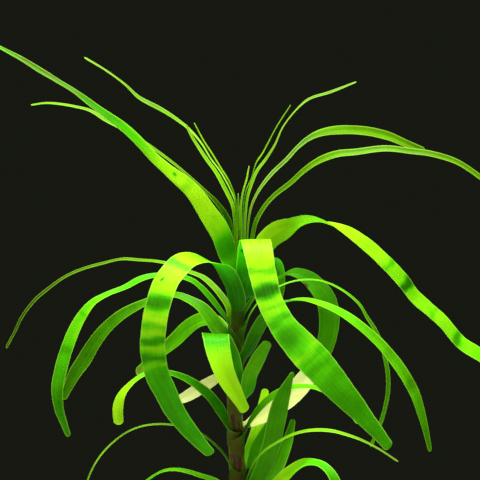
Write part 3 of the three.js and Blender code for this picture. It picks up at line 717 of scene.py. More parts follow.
across = at_station("across")
face = at_station("face")
left_half, right_half, distance = parts_of(blade_tree, at_station("sides"))
curl, fold, fullness = parts_of(blade_tree, at_station("shape"))
on_right = maths(blade_tree, "GREATER_THAN", side, 0.0)
wider_right = maths(blade_tree, "SUBTRACT", right_half, left_half)
half = maths(blade_tree, "MULTIPLY_ADD", on_right, wider_right, left_half)
bend = maths(blade_tree, "MULTIPLY", curl, side)
arc = maths(blade_tree, "DIVIDE", half, curl)
outward = maths(blade_tree, "MULTIPLY", arc, maths(blade_tree, "SINE", bend))
drop = maths(blade_tree, "SUBTRACT", 1.0, maths(blade_tree, "COSINE", bend))
lift = maths(blade_tree, "MULTIPLY", arc, drop)
side_squared = maths(blade_tree, "MULTIPLY", side, side)
rounded_side = maths(blade_tree, "SQRT", maths(blade_tree, "ADD", side_squared, 0.02))
valley = maths(blade_tree, "SUBTRACT", 1.0, rounded_side)
valley = maths(blade_tree, "MULTIPLY", valley, maths(blade_tree, "MULTIPLY", fold, half))
ripple_place = vector_of(
    blade_tree,
    maths(blade_tree, "MULTIPLY_ADD", side, 0.5, given["Seed"]),
    maths(blade_tree, "DIVIDE", distance, given["Ripple Length"]),
    given["Seed"],
)
ripple_noise = {"Vector": ripple_place, "Scale": 1.0, "Detail": 1.5}
ripple = put(blade_tree, "ShaderNodeTexNoise", ripple_noise).outputs[0]
ripple = maths(blade_tree, "MULTIPLY", maths(blade_tree, "SUBTRACT", ripple, 0.5), given["Ripple"])
ripple = maths(blade_tree, "MULTIPLY", ripple, ramp(blade_tree, distance, 4 * MM, 14 * MM))
lift = maths(blade_tree, "ADD", maths(blade_tree, "SUBTRACT", lift, valley), ripple)
middle = vectors(
    blade_tree,
    "ADD",
    at_station("position"),
    vectors(blade_tree, "ADD", scaled(blade_tree, across, outward), scaled(blade_tree, face, lift)),
)
body = maths(blade_tree, "SUBTRACT", 1.0, maths(blade_tree, "POWER", side_squared, 4.0))
body = maths(blade_tree, "MULTIPLY", body, fullness)
from_midrib = maths(blade_tree, "DIVIDE", maths(blade_tree, "MULTIPLY", side, half), midrib_reach * MM)
away_squared = maths(blade_tree, "MULTIPLY", from_midrib, from_midrib)
rib = maths(blade_tree, "EXPONENT", maths(blade_tree, "MULTIPLY", away_squared, -1.0))
rib = maths(blade_tree, "MULTIPLY", rib, given["Midrib"])
half_thick = maths(blade_tree, "MULTIPLY", given["Thickness"], 0.5)
above = maths(blade_tree, "MULTIPLY", maths(blade_tree, "MULTIPLY_ADD", rib, -0.35, half_thick), body)
downward = maths(blade_tree, "MULTIPLY", body, -1.0)
below = maths(blade_tree, "MULTIPLY", maths(blade_tree, "ADD", rib, half_thick), downward)
from_edge = maths(blade_tree, "SUBTRACT", 1.0, maths(blade_tree, "ABSOLUTE", side))
inward = maths(blade_tree, "MULTIPLY", from_edge, half)
vein_start = maths(blade_tree, "MULTIPLY", given["Seed"], 13.7)
vein = maths(blade_tree, "MULTIPLY_ADD", side, given["Vein Width"], vein_start)
coordinates = vector_of(
    blade_tree, maths(blade_tree, "DIVIDE", inward, MM), maths(blade_tree, "DIVIDE", distance, MM), vein
)
sheet = put(
    blade_tree,
    "GeometryNodeStoreNamedAttribute",
    {0: grid, "Name": "leaf", "Value": coordinates},
    data_type="FLOAT_VECTOR",
).outputs[0]
top, under = (
    put(
        blade_tree,
        "GeometryNodeSetPosition",
        {0: sheet, "Position": vectors(blade_tree, "ADD", middle, scaled(blade_tree, face, offset))},
    ).outputs[0]
    for offset in (above, below)
)
under = put(blade_tree, "GeometryNodeFlipFaces", {0: under}).outputs[0]
joined = put(blade_tree, "GeometryNodeJoinGeometry")
blade_tree.links.new(top, joined.inputs[0])
blade_tree.links.new(under, joined.inputs[0])
seam = {0: joined.outputs[0], "Distance": seam_reach}
closed = put(blade_tree, "GeometryNodeMergeByDistance", seam).outputs[0]
closed = put(blade_tree, "GeometryNodeSetShadeSmooth", {0: closed}).outputs[0]
closed = put(blade_tree, "GeometryNodeRealizeInstances", {0: closed}).outputs[0]
closed = put(blade_tree, "GeometryNodeSetMaterial", {0: closed, "Material": given["Finish"]}).outputs[0]
blade_tree.links.new(closed, result["Leaf"])


flesh_tree, given, result = new_tree(
    "leaf flesh",
    "ShaderNodeTree",
    [
        ("Deep", "Color"),
        ("Middle", "Color"),
        ("Bright", "Color"),
        ("Margin", "Color"),
        ("Vein Strength", "Float", 0.4),
        ("Banding", "Float", 0.4),
    ],
    [("Colour", "Color"), ("Through", "Color"), ("Roughness", "Float"), ("Height", "Float")],
)
place = put(flesh_tree, "ShaderNodeAttribute", attribute_name="leaf").outputs["Vector"]
inward, distance, vein = parts_of(flesh_tree, place)
marks = put(flesh_tree, "ShaderNodeAttribute", attribute_name="mark").outputs["Vector"]
# The first number is painted light and shade over the leaf's own colour, the second brown with painted shade.
tone, brown_and_shade_mark, pale_mark = parts_of(flesh_tree, marks)


def leaf_noise(per_vein, per_distance, offset):
    """Noise about 0, with so many turns per millimetre across the veins and along them."""
    x = maths(flesh_tree, "MULTIPLY", vein, per_vein)
    y = maths(flesh_tree, "MULTIPLY", distance, per_distance)
    sockets = {"Vector": vector_of(flesh_tree, x, y, offset), "Scale": 1.0, "Detail": 2.0}
    return maths(flesh_tree, "SUBTRACT", put(flesh_tree, "ShaderNodeTexNoise", sockets).outputs[0], 0.5)


def clamped(value):
    return put(flesh_tree, "ShaderNodeMath", {0: value, 1: 0.0}, operation="ADD", use_clamp=True).outputs[0]


streaks = leaf_noise(2.3, 0.06, 0.0)
bands = leaf_noise(0.1, 0.16, 3.0)
striae = leaf_noise(0.4, 1.6, 7.0)
tone = maths(flesh_tree, "MULTIPLY_ADD", streaks, given["Vein Strength"], tone)
# Painted light and shade: lighter and darker bands at random along the blade, as light falls on it in bands.
tone = maths(flesh_tree, "MULTIPLY_ADD", bands, given["Banding"], tone)
tone = maths(flesh_tree, "MULTIPLY_ADD", striae, 0.12, tone)
lower = clamped(maths(flesh_tree, "MULTIPLY", tone, 2.0))
upper = clamped(maths(flesh_tree, "MULTIPLY_ADD", tone, 2.0, -1.0))
colour = blended(flesh_tree, lower, given["Deep"], given["Middle"])
colour = blended(flesh_tree, upper, colour, given["Bright"])
margin = ramp(flesh_tree, inward, 0.14, 0.4, 0.55, 0.0)
colour = blended(flesh_tree, margin, colour, given["Margin"])
# Darker olive near each leaf's base: partly the sheath's own olive, partly painted shade under the leaves
# above.
base_olive_and_shade = ramp(flesh_tree, distance, 1.5, 7.5, 0.9, 0.0)
colour = blended(flesh_tree, base_olive_and_shade, colour, (0.15, 0.25, 0.016, 1))
for mark, noise, tint in (
    (brown_and_shade_mark, maths(flesh_tree, "MULTIPLY", bands, 0.8), (0.26, 0.2, 0.03, 1)),
    (pale_mark, maths(flesh_tree, "MULTIPLY", streaks, 0.5), (0.75, 0.88, 0.3, 1)),
):
    spread = ramp(flesh_tree, maths(flesh_tree, "ADD", mark, noise), 0.2, 0.8)
    cover = maths(flesh_tree, "MULTIPLY", spread, ramp(flesh_tree, mark, 0.02, 0.25))
    colour = blended(flesh_tree, cover, colour, tint)
through = vectors(flesh_tree, "MULTIPLY", colour, (0.85, 1.0, 0.4))
flesh_tree.links.new(colour, result["Colour"])
flesh_tree.links.new(through, result["Through"])
flesh_tree.links.new(ramp(flesh_tree, streaks, -0.2, 0.2, 0.4, 0.52), result["Roughness"])
height = maths(flesh_tree, "MULTIPLY_ADD", striae, 0.3, streaks)
flesh_tree.links.new(height, result["Height"])


def flesh(name, deep, middle, bright, margin, veins=0.4, banding=0.3, thinness=0.45, relief=0.008):
    """A material of thin living tissue, which lets through that share of the light that it scatters."""
    material = bpy.data.materials.new(name)
    material.use_nodes = True
    tree = material.node_tree
    pattern = put(
        tree,
        "ShaderNodeGroup",
        {
            "Deep": (*deep, 1),
            "Middle": (*middle, 1),
            "Bright": (*bright, 1),
            "Margin": (*margin, 1),
            "Vein Strength": veins,
            "Banding": banding,
        },
        node_tree=flesh_tree,
    ).outputs
    bump = put(tree, "ShaderNodeBump", {"Height": pattern["Height"], "Distance": relief * MM}).outputs[0]
    skin = tree.nodes["Principled BSDF"]
    skin.inputs["Specular IOR Level"].default_value = 0.06
    tree.links.new(pattern["Colour"], skin.inputs["Base Color"])
    tree.links.new(pattern["Roughness"], skin.inputs["Roughness"])
    tree.links.new(bump, skin.inputs["Normal"])
    inside = put(tree, "ShaderNodeBsdfTranslucent", {"Color": pattern["Through"], "Normal": bump}).outputs[0]
    mixed = put(tree, "ShaderNodeMixShader", {0: thinness, 1: skin.outputs[0], 2: inside}).outputs[0]
    tree.links.new(mixed, tree.nodes["Material Output"].inputs["Surface"])
    return material


# Each finish goes from deep, its colour in shade, to bright, its colour in full light, as the tones paint it.
lime_flesh = flesh(
    "lime leaf", (0.03, 0.24, 0.001), (0.13, 0.76, 0.002), (0.6, 1, 0.01), (0.55, 0.95, 0.08), veins=0.28
)
green_flesh = flesh(
    "green leaf", (0.035, 0.18, 0.001), (0.15, 0.65, 0.002), (0.55, 1, 0.01), (0.42, 0.85, 0.04)
)
young_flesh = flesh(
    "young leaf", (0.05, 0.16, 0.001), (0.23, 0.62, 0.002), (0.6, 0.95, 0.012), (0.5, 0.84, 0.06)
)
old_flesh = flesh(
    "bleached leaf", (0.55, 0.5, 0.12), (0.9, 0.88, 0.22), (0.97, 0.98, 0.5), (0.97, 0.96, 0.65)
)
grown = []


def shown(points):
    """The picture's columns and rows where those places are seen."""
    scale = mm_per_pixel * (points[:, 1] - eye[1]) / -eye[1]
    middle = picture_side / 2
    columns = middle + (points[:, 0] - eye[0]) / scale
    rows = middle - (points[:, 2] - eye[2]) / scale
    return np.stack([columns, rows], axis=1)


def along(values, shares):
    """The evenly spaced values read at those shares of the length, with their corners rounded off."""
    places = np.linspace(0, 1, len(values))
    reach = 0.5 / (len(values) - 1)
    near = []
    for shift in (-1, -0.5, 0, 0.5, 1):
        near.append(np.interp(np.clip(shares + shift * reach, 0, 1), places, values))
    return np.average(near, axis=0, weights=(1, 2, 2, 2, 1))


def unit(vector):
    return vector / np.linalg.norm(vector)


def faded(away):
    """1 near 0, fading to nothing on both sides, to about a third at 1 and -1."""
    return np.exp(-(away**4))


def sheath(height, first, order):
    """Places up the stem's skin to the node at that height, on the side of the leaf's first point."""
    clearance = sheath_clearances[order % len(sheath_clearances)]
    places = []
    for drop in sheath_drops:
        centre, radius = stem_at(height - drop)
        outward = unit((first - centre) * (1, 1, 0))
        places.append(centre + outward * (radius + clearance))
    return places, outward, radius + clearance


def grow(name, finish, line, width, blade, turns, tones, fold=0.1, node_height=None, marks=(), spots=()):
    """
    Grows a leaf along the line, out of the node at that height if there is one. turns is how far the blade
    is turned about its spine in degrees, toward the eye, and fold how deep it is folded for half its width.
    tones goes from 0, deep green in shade, to 1, bright lime in full light: painted light and
    shade along the blade, over the leaf's own colour. A mark is a band across the blade, as (LIGHT_AND_SHADE,
    BROWN_AND_SHADE or PALE, column, row, millimetres it reaches along, strength); of the first kind it is a
    painted shadow below 0 and painted light above. A spot is round, and its reach is in pixels.
    """
    order = len(grown)
    clasp = 0.0
    start = 0.0
    if node_height is not None:
        foot, outward, clasp_radius = sheath(node_height, line[0], order)
        line = np.vstack([foot, line])
        clasp = sheath_clasp
        start = sheath_drops[0]
    fine = smooth_path(line, 0.25)
    fine = np.vstack([fine, fine[-1] + unit(fine[-1] - fine[-2]) * tip_reach])
    reached = np.append(0, np.cumsum(np.linalg.norm(np.diff(fine, axis=0), axis=1)))
    length = reached[-1]
    base_rows = np.arange(0, base_reach, base_spacing)
    middle_rows = np.arange(base_reach, length - tip_stretch, row_spacing)
    end_rows = length - np.linspace(tip_stretch, 0, tip_rows) ** 1.5 / tip_stretch**0.5
    rows = np.unique(np.concatenate([base_rows, middle_rows, end_rows]).clip(0, length))
    spine = np.stack([np.interp(rows, reached, fine[:, i]) for i in range(3)], axis=1)
    tangents = np.gradient(spine, rows, axis=0)
    tangents /= np.linalg.norm(tangents, axis=1)[:, None]
    shares = ((rows - start) / (length - tip_reach - start)).clip(0, 1)

    above_sheath = spine[rows >= start]
    plan = unit((above_sheath[above_sheath[:, 2].argmax()] - above_sheath[0]) * (1, 1, 0))
    toward_eye = 1 if plan[0] >= 0 else -1
    angles = np.radians(along(turns, shares)) * toward_eye
    carried = np.cross(plan, (0, 0, 1))
    acrosses = []
    for tangent, angle, row in zip(tangents, angles, rows):
        carried = unit(carried - tangent * carried.dot(tangent))
        turned = carried * math.cos(angle) + np.cross(tangent, carried) * math.sin(angle)
        if clasp and row < start + clasp_reach:
            clasped = unit(np.cross(outward, tangent) + 1e-9)
            share = 1 - max(row - start, 0) / clasp_reach
            twist = math.atan2(np.cross(turned, clasped).dot(tangent), turned.dot(clasped)) * share
            turned = turned * math.cos(twist) + np.cross(tangent, turned) * math.sin(twist)
        acrosses.append(turned)
    acrosses = np.array(acrosses)
    faces = np.cross(acrosses, tangents)

    past_end = ((rows - (length - tip_reach)) / tip_reach).clip(0, 1)
    halves = []
    outlines = blade if isinstance(blade[0], tuple) else (blade, blade)
    for side, outline in zip((-1, 1), outlines):
        phase = order * 2.1 + side
        uneven = 1 + 0.012 * np.sin(rows * 0.8 + phase) + 0.008 * np.sin(rows * 2.1 + 3 * phase)
        halves.append(width / 2 * along(outline, shares) * np.sqrt(1 - past_end**2) * uneven)
    curls = np.full(len(rows), least_curl)
    if clasp:
        released = ((rows - start) / clasp_reach).clip(0, 1)
        released = released * released * (3 - 2 * released)
        curls = clasp + (least_curl - clasp) * released
        halves = [clasp_radius * clasp * (1 - released) + side_half * released for side_half in halves]
        blunted = np.sqrt(1 - (1 - rows / base_round).clip(0, 1) ** 2 * 0.96)
        halves = [side_half * blunted for side_half in halves]
    folds = along(fold, shares) if isinstance(fold, list) else np.full(len(rows), fold)
    folds = folds * ((rows - start) / clasp_reach).clip(0, 1)
    fullness = np.ones(len(rows))
    fullness[[0, -1]] = 0

    piece = spine_object(name.replace("leaf_", "blade_"), spine)
    add_attribute(piece.data, "across", "FLOAT_VECTOR", acrosses)
    add_attribute(piece.data, "face", "FLOAT_VECTOR", faces)
    add_attribute(piece.data, "sides", "FLOAT_VECTOR", np.stack([*halves, rows], axis=1) * MM)
    add_attribute(piece.data, "shape", "FLOAT_VECTOR", np.stack([curls, folds, fullness], axis=1))
    run_tree(
        piece,
        blade_tree,
        {
            "Strips": 14 if width > 4 else 10 if width > 2 else 6,
            "Thickness": leaf_thickness * MM,
            "Midrib": min(midrib_height, width * midrib_share) * MM,
            "Ripple": width * ripple_share * MM,
            "Ripple Length": ripple_length * MM,
            "Vein Width": width / 2,
            "Seed": float(order),
            "Finish": finish,
        },
    )
    mesh = as_plain_mesh(piece)
    mesh.set_sharp_from_angle(angle=math.radians(70))
    places = np.empty(len(mesh.vertices) * 3)
    mesh.vertices.foreach_get("co", places)
    places = shown(places.reshape(-1, 3) / MM)
    on_blade = np.empty(len(mesh.vertices) * 3)
    mesh.attributes["leaf"].data.foreach_get("vector", on_blade)
    distances, places_across = on_blade.reshape(-1, 3)[:, 1:].T
    bowed = distances + bow_depth * np.sin(bow_across * places_across + bow_along * distances)
    marked = np.zeros((len(mesh.vertices), 3))
    # Painted light and shade along the blade from its tones, then painted shadows and light from its marks.
    marked[:, LIGHT_AND_SHADE] = along(tones, ((distances - start) / (length - tip_reach - start)).clip(0, 1))
    for kind, column, row_seen, reach, strength in marks:
        nearest = rows[np.hypot(*(shown(spine) - (column, row_seen)).T).argmin()]
        marked[:, kind] += strength * faded((bowed - nearest) / reach)
    for kind, column, row_seen, reach, strength in spots:
        marked[:, kind] += strength * faded(np.hypot(*(places - (column, row_seen)).T) / reach)
    if clasp:
        in_sheath = faded(distances / browning_reach)
        from_middle = places[:, 0] - np.interp(places[:, 1], stem_rows, stem_columns)
        marked[:, BROWN_AND_SHADE] += in_sheath * np.interp(node_height, browning_heights, (browning_strength, 0))
        # Painted shade: the sheath darker along the stem's middle column, as the eye sees it.
        marked[:, BROWN_AND_SHADE] += in_sheath * stem_shade_strength * faded(from_middle / stem_shade_reach)
    add_attribute(mesh, "mark", "FLOAT_VECTOR", marked)
    grown.append(piece)
    stand_in(piece, name)


def leaf(name, finish, path, node=None, **shape):
    """Grows a leaf along the path where it is seen, out of the stem's node at that row of the picture."""
    node_height = None if node is None else seen(0, node, 0)[2]
    grow(name, finish, np.array([seen(*point) for point in path]), node_height=node_height, **shape)


# Crown leaves
# The youngest leaves stand up in a narrow tuft round the growing tip, still thin as strands, and part to the
# left and to the right.
leaf(
    "leaf_crown_left_long",
    young_flesh,
    path=[
        (237, 266, -2.2), (236.5, 240, -2.2), (236.5, 222, -2.4), (235.5, 203, -3), (230, 189, -4),
        (220, 171, -6), (211, 159, -8), (201.5, 143.5, -10), (191, 131, -12), (175.5, 118.5, -14),
        (159.5, 108.5, -16), (139, 97.5, -18), (125, 84.5, -19), (106, 70.5, -20), (87, 59, -21),
    ],
    width=1.2,
    blade=(0.38, 0.38, 0.4, 0.44, 0.46, 0.48, 0.74, 1, 1.26, 0.64, 0.6, 0.7),
    turns=[30, 30, 32, 34, 34, 36, 50, 64, 58, 44, 40, 40],
    tones=[0.5, 0.5, 0.6, 0.5, 0.3, 0.3],
)
leaf(
    "leaf_crown_left_back",
    young_flesh,
    path=[
        (235.2, 264, -0.9), (235, 240, -1), (234.6, 222, -1.1), (232.5, 205, -1.1), (226.5, 192, -1.6),
        (216.5, 173, -3), (207, 160, -4), (200, 149.5, -5), (193, 138.5, -6), (187, 127, -7),
    ],
    width=1.7,
    blade=young,
    turns=[5, 10, 20, 25, 25],
    tones=[0.5, 0.5, 0.5, 0.35],
)
leaf(
    "leaf_crown_left_front",
    young_flesh,
    path=[
        (236.5, 264, 2.4), (236.5, 240, 2.4), (236.5, 218, 2.6), (235.5, 198, 3.2), (229, 181, 4),
        (221.5, 169, 5), (212, 153.5, 6.5), (204.5, 142, 7.5), (199.5, 133, 8), (196, 126, 8.5),
    ],
    width=2.6,
    blade=(0.64, 0.76, 0.92, 1.02, 1.02, 0.94, 0.8, 0.58, 0.36),
    turns=[10, 20, 34, 36],
    tones=[0.5, 0.55, 0.75, 0.75, 0.7],
)
leaf(
    "leaf_crown_middle",
    young_flesh,
    path=[
        (240.5, 266, -2), (240.5, 240, -2), (240.5, 222, -2.2), (241, 205, -2.6), (243.5, 190, -3),
        (246.5, 180, -3.6), (248.5, 169, -4.5),
    ],
    width=1,
    blade=(0.6, 0.74, 0.88, 0.96, 0.96, 0.82, 0.64, 0.6, 0.46),
    turns=[5, 10],
    tones=[0.5, 0.6, 0.6],
)
leaf(
    "leaf_crown_bud",
    young_flesh,
    path=[(239.2, 250, 0.2), (238.8, 230, 0.2), (238.4, 212, 0.4), (238.2, 197, 0.6)],
    width=1,
    blade=young,
    turns=[5, 5],
    tones=[0.5, 0.5],
)
leaf(
    "leaf_crown_right_short",
    young_flesh,
    path=[
        (242, 265, 2.2), (242.5, 240, 2.2), (243, 218, 2.4), (244, 200, 2.8), (246.5, 189, 3.2),
        (251.5, 178, 4), (256, 163, 5), (262, 154, 6), (269, 141, 7), (277, 126, 8), (288.5, 108, 9),
    ],
    width=1.9,
    blade=(0.64, 0.76, 0.9, 0.98, 0.98, 0.88, 0.94, 0.4, 0.28),
    turns=[10, 22, 34, 28],
    tones=[0.5, 0.55, 0.75, 0.7, 0.6],
)
leaf(
    "leaf_crown_right_long",
    young_flesh,
    path=[
        (243, 268, -2.6), (244.5, 240, -2.9), (245.5, 216, -3.6), (247, 200, -4.4), (250.5, 187, -5.4),
        (257, 171, -6.8), (265.5, 159.5, -8), (274.5, 145.5, -9), (283.5, 126, -11), (299.5, 106.5, -13),
        (310, 98.5, -15), (330.5, 92, -17), (353.5, 83, -19),
    ],
    width=1.2,
    blade=(0.68, 0.68, 0.7, 0.74, 0.88, 0.9, 0.52, 0.4, 0.48, 1.02, 0.98, 0.54),
    turns=[30, 30, 30, 34, 36, 36, 30, 34, 36, 40, 42, 40],
    tones=[0.5, 0.5, 0.4, 0.25, 0.25, 0.25],
)


# High leaves
# The longest of the upper leaves, two to the right and two to the left. One on each side runs out of the
# picture.
leaf(
    "leaf_high_right_upper",
    young_flesh,
    path=[
        (245, 270, 0), (247, 245, 0.1), (248.5, 222, 0), (251.5, 206, -0.6), (258.5, 191, -2.4),
        (271, 174.5, -6), (287, 159, -11), (297.5, 147.5, -15), (309.5, 138, -18), (323, 132.5, -21),
        (342, 130, -24), (365, 131, -27), (388, 136, -29), (407, 144, -30), (422, 150, -31),
    ],
    width=3.3,
    blade=(0.16, 0.16, 0.18, 0.24, 0.38, 0.4, 0.36, 0.64, 1.02, 1, 1.02, 0.86, 0.64),
    turns=[45, 45, 45, 40, 35, 35, 40, 50, 56, 62, 68, 72],
    fold=0.15,
    tones=[0.4, 0.4, 0.15, 0.1, 0.1, 0.15, 0.3, 0.35, 0.35, 0.3, 0.25],
)
leaf(
    "leaf_high_right_lower",
    young_flesh,
    path=[
        (246.5, 276, 2.4), (250, 256, 2.6), (252.5, 238, 2.8), (256, 222, 3.2), (265, 206, 4),
        (275.5, 194.5, 5), (290.5, 183, 7), (303.5, 171, 9), (319, 160.5, 11), (337, 154, 12.5),
        (356, 152, 13.5), (385, 148.5, 14), (410, 151, 14), (432, 154, 14), (456, 161.5, 13.5),
        (471, 170.5, 13), (485, 181, 12.5),
    ],
    width=2.7,
    blade=(1, 1, 0.9, 0.64, 0.68, 0.76, 0.98, 0.84, 0.84, 0.8, 0.78, 0.72, 0.7),
    turns=[40, 42, 46, 54, 56, 54, 50, 50, 50, 52, 54, 54],
    fold=0.15,
    tones=[0.2, 0.25, 0.25, 0.25, 0.3, 0.35, 0.35, 0.3, 0.25, 0.25, 0.25],
)
leaf(
    "leaf_high_left_broad",
    lime_flesh,
    path=[
        (234, 275, 5.6), (228, 256, 6.2), (220, 233, 8), (206, 211, 11), (193, 192, 13), (159, 162.5, 17),
        (128, 131, 20), (100, 110.5, 22), (75.5, 92, 23), (57.5, 81, 23), (38, 69, 23), (20, 58, 23),
        (0, 47.5, 23), (-9, 42, 23),
    ],
    node=290,
    width=7.1,
    blade=(0.6, 0.96, 1.06, 1.02, 0.82, 0.64, 0.46, 0.46, 0.44, 0.34, 0.22, 0.26, 0.2, 0.14),
    turns=[0, 50, 62, 58, 58, 58, 56, 54, 50, 48, 46, 60, 56, 52],
    fold=[0.1, 0, -0.1, -0.12, -0.12, -0.08, 0.05, 0.12, 0.15],
    tones=[0.15, 0.2, 0.95, 1, 0.95, 0.65, 0.35, 0.2, 0.2, 0.25, 0.3],
    # Painted shadow bands and spots on the blade, and a brown, paler end.
    marks=[
        (LIGHT_AND_SHADE, 224, 247, 3.5, -0.3), (LIGHT_AND_SHADE, 185, 186, 1.4, -0.2), (BROWN_AND_SHADE, 50, 76, 20, 0.4),
        (PALE, 50, 76, 20, 0.12),
    ],
    spots=[(LIGHT_AND_SHADE, 174, 174, 1.8, -0.8), (LIGHT_AND_SHADE, 214, 216, 3, -0.15)],
)
leaf(
    "leaf_high_left_wavy",
    young_flesh,
    path=[
        (231, 264, -0.2), (230.5, 238, 0.8), (228.5, 221, 1.8), (219, 205.5, 4.4), (204, 190, 7),
        (180, 168.5, 8), (150, 146, 9), (125, 130.5, 9), (106, 120.5, 8), (90, 110.5, 7), (74.5, 106.5, 6),
        (60, 104, 5), (45, 103, 4), (34, 104.5, 3),
    ],
    node=284,
    width=1.9,
    blade=(0.82, 0.98, 1.02, 0.86, 0.56, 0.56, 0.62, 0.68, 0.72, 0.7, 0.52, 0.42),
    turns=[40, 60, 66, 50, 30, 26, 26, 26, 26, 26, 34, 36],
    fold=0.2,
    tones=[0.1, 0.15, 0.15, 0.3, 0.4, 0.4, 0.4],
)


# Front leaves
# Three broad lime ribbons that come toward the viewer and fold over their crests, in front of all others.
leaf(
    "leaf_front",
    lime_flesh,
    path=[
        (247.5, 284, 7.6), (251, 266, 11), (253, 249, 18), (254.5, 241, 25), (256.5, 243, 31),
        (259, 256, 34.5), (263, 275, 36.5), (267, 292, 38), (273, 308, 39.5), (283, 326, 41),
        (296, 342, 42), (310, 357, 43), (324, 372, 43.5), (338, 388, 43.5), (351, 402, 43),
        (364, 417, 42.5), (377, 432, 42), (387.5, 445, 41.5),
    ],
    node=306,
    width=9,
    blade=[
        (0.62, 0.85, 0.9, 0.9, 0.88, 0.84, 0.78, 0.7, 0.76, 0.98, 0.9, 0.7, 0.48, 0.3),
        (0.62, 0.85, 0.9, 0.9, 0.88, 0.84, 0.78, 0.72, 0.74, 0.94, 0.88, 0.7, 0.48, 0.3),
    ],
    turns=[0, 0, 0, 0, 0, 5, 5, 5, 0],
    fold=[0.1, 0.1, 0.05, -0.08, -0.08, -0.05, -0.05, -0.1, -0.15, -0.15, -0.15, -0.12, -0.1],
    tones=[0.1, 0.1, 0.4, 0.55, 0.9, 0.95, 0.6, 0.4, 0.35, 0.3, 0.3],
    # Painted shadow bands and bands of painted light across the blade, and round patches of both.
    marks=[
        (LIGHT_AND_SHADE, 262, 269.5, 0.9, -0.35), (LIGHT_AND_SHADE, 268, 291, 1.8, -0.85), (LIGHT_AND_SHADE, 275, 305, 0.5, -0.2),
        (LIGHT_AND_SHADE, 278, 319, 1, -0.3), (LIGHT_AND_SHADE, 303, 356, 0.9, 0.18), (LIGHT_AND_SHADE, 310, 364, 0.6, 0.15),
        (LIGHT_AND_SHADE, 325, 372, 1.2, 0.15),
    ],
    spots=[
        (LIGHT_AND_SHADE, 243, 251, 1.4, -1), (LIGHT_AND_SHADE, 288, 337, 12, -0.32), (LIGHT_AND_SHADE, 313, 337, 8, 0.15),
        (LIGHT_AND_SHADE, 294, 362, 7, 0.25),
    ],
)
leaf(
    "leaf_front_left",
    lime_flesh,
    path=[
        (235, 292, 7), (229, 277, 9.5), (221.5, 266, 12.5), (210.5, 261, 16), (197, 258, 20),
        (185.5, 260.5, 24), (176, 269, 27.5), (167, 281, 30), (160.5, 297, 32), (155.5, 318, 33.5),
        (153, 340, 34), (154, 360, 34), (158.5, 377, 34), (165.5, 391.5, 33.5), (176, 412.5, 32.5),
        (188.5, 429, 31.5), (199.5, 442, 30.5), (209, 452, 29.5),
    ],
    node=314,
    width=6.9,
    blade=(0.7, 0.95, 1, 1, 1, 1, 1, 1, 1, 1, 1, 0.98, 0.9, 0.8, 0.66, 0.42),
    turns=[8, 8, 4, 6, 22, 28, 26, 22, 20, 18, 22, 20, 20, 20, 20, 20],
    tones=[0.15, 0.15, 0.25, 0.7, 0.9, 0.85, 0.75, 0.45, 0.3, 0.25, 0.3],
    # Bands of painted shadow and painted light in turn down the blade, and a spot of painted shade.
    marks=[
        (LIGHT_AND_SHADE, 178, 264, 1.4, -0.35), (LIGHT_AND_SHADE, 157, 303, 1.9, -0.65), (LIGHT_AND_SHADE, 154, 320, 0.8, 0.2),
        (LIGHT_AND_SHADE, 154, 327, 0.5, -0.2), (LIGHT_AND_SHADE, 152, 334, 0.6, 0.2), (LIGHT_AND_SHADE, 152, 341, 0.9, -0.4),
        (LIGHT_AND_SHADE, 152, 350, 0.8, 0.3), (LIGHT_AND_SHADE, 153, 358, 0.8, -0.35), (LIGHT_AND_SHADE, 155, 366, 0.6, 0.25),
    ],
    spots=[(LIGHT_AND_SHADE, 162, 279, 1.3, -0.9)],
)
leaf(
    "leaf_front_short",
    lime_flesh,
    path=[
        (231.5, 368, 7), (226, 352, 11), (219, 338.5, 16), (215.5, 334, 20.5), (216, 339, 24.5),
        (218.5, 352, 27), (222.5, 367, 28.5), (229, 382, 29), (237, 396, 29), (244, 408.5, 28.5),
    ],
    node=386,
    width=7.2,
    blade=(0.6, 0.85, 0.97, 1, 1, 0.95, 0.8, 0.64, 0.36),
    turns=[0, 0, 0, 0],
    fold=[0.1, 0.1, -0.05, -0.05, 0.1, 0.15, 0.15],
    tones=[0.2, 0.2, 0.2, 0.2, 0.2, 0.2, 0.3, 0.95, 1, 1, 1],
    # A narrow band of painted shadow over the crest.
    marks=[(LIGHT_AND_SHADE, 218, 341, 0.5, -0.12)],
)


# Right leaves
# From a broad one that twists out to the right edge of the picture to a short one folded along its midrib.
leaf(
    "leaf_right_broad",
    lime_flesh,
    path=[
        (252, 268, -5), (262, 248, -8), (274, 235, -11), (288.5, 228.5, -14), (303.5, 221.5, -17),
        (319.5, 221.5, -20), (334.5, 226, -22), (351.5, 234.5, -24), (370, 248, -26), (387.5, 264.5, -27),
        (402.5, 280.5, -28), (414, 296, -29), (428, 308.5, -30), (443, 322, -31), (460.5, 342.5, -32),
        (480.5, 355.5, -33), (494.5, 366.5, -34),
    ],
    node=292,
    width=7.1,
    blade=(0.62, 0.9, 1.04, 1, 0.76, 0.7, 0.94, 0.84, 0.78, 0.82, 0.8, 0.78, 0.82, 0.76, 0.76),
    turns=[-20, -60, -90, -80, -34, 24, 52, 64, 66, 62, 60, 60, 60, 60],
    fold=[0.1, 0.1, 0.05, 0, -0.08, -0.1, -0.1, -0.08, -0.05],
    tones=[0.6, 0.95, 1, 0.9, 0.9, 0.9, 0.7, 0.65, 0.75, 0.6, 0.6],
    # Bands of painted shadow across the blade.
    marks=[
        (LIGHT_AND_SHADE, 389, 265, 1, -0.3), (LIGHT_AND_SHADE, 405, 284, 1.7, -0.7), (LIGHT_AND_SHADE, 434, 315, 0.8, -0.2),
        (LIGHT_AND_SHADE, 457, 337, 1.3, -0.45),
    ],
)
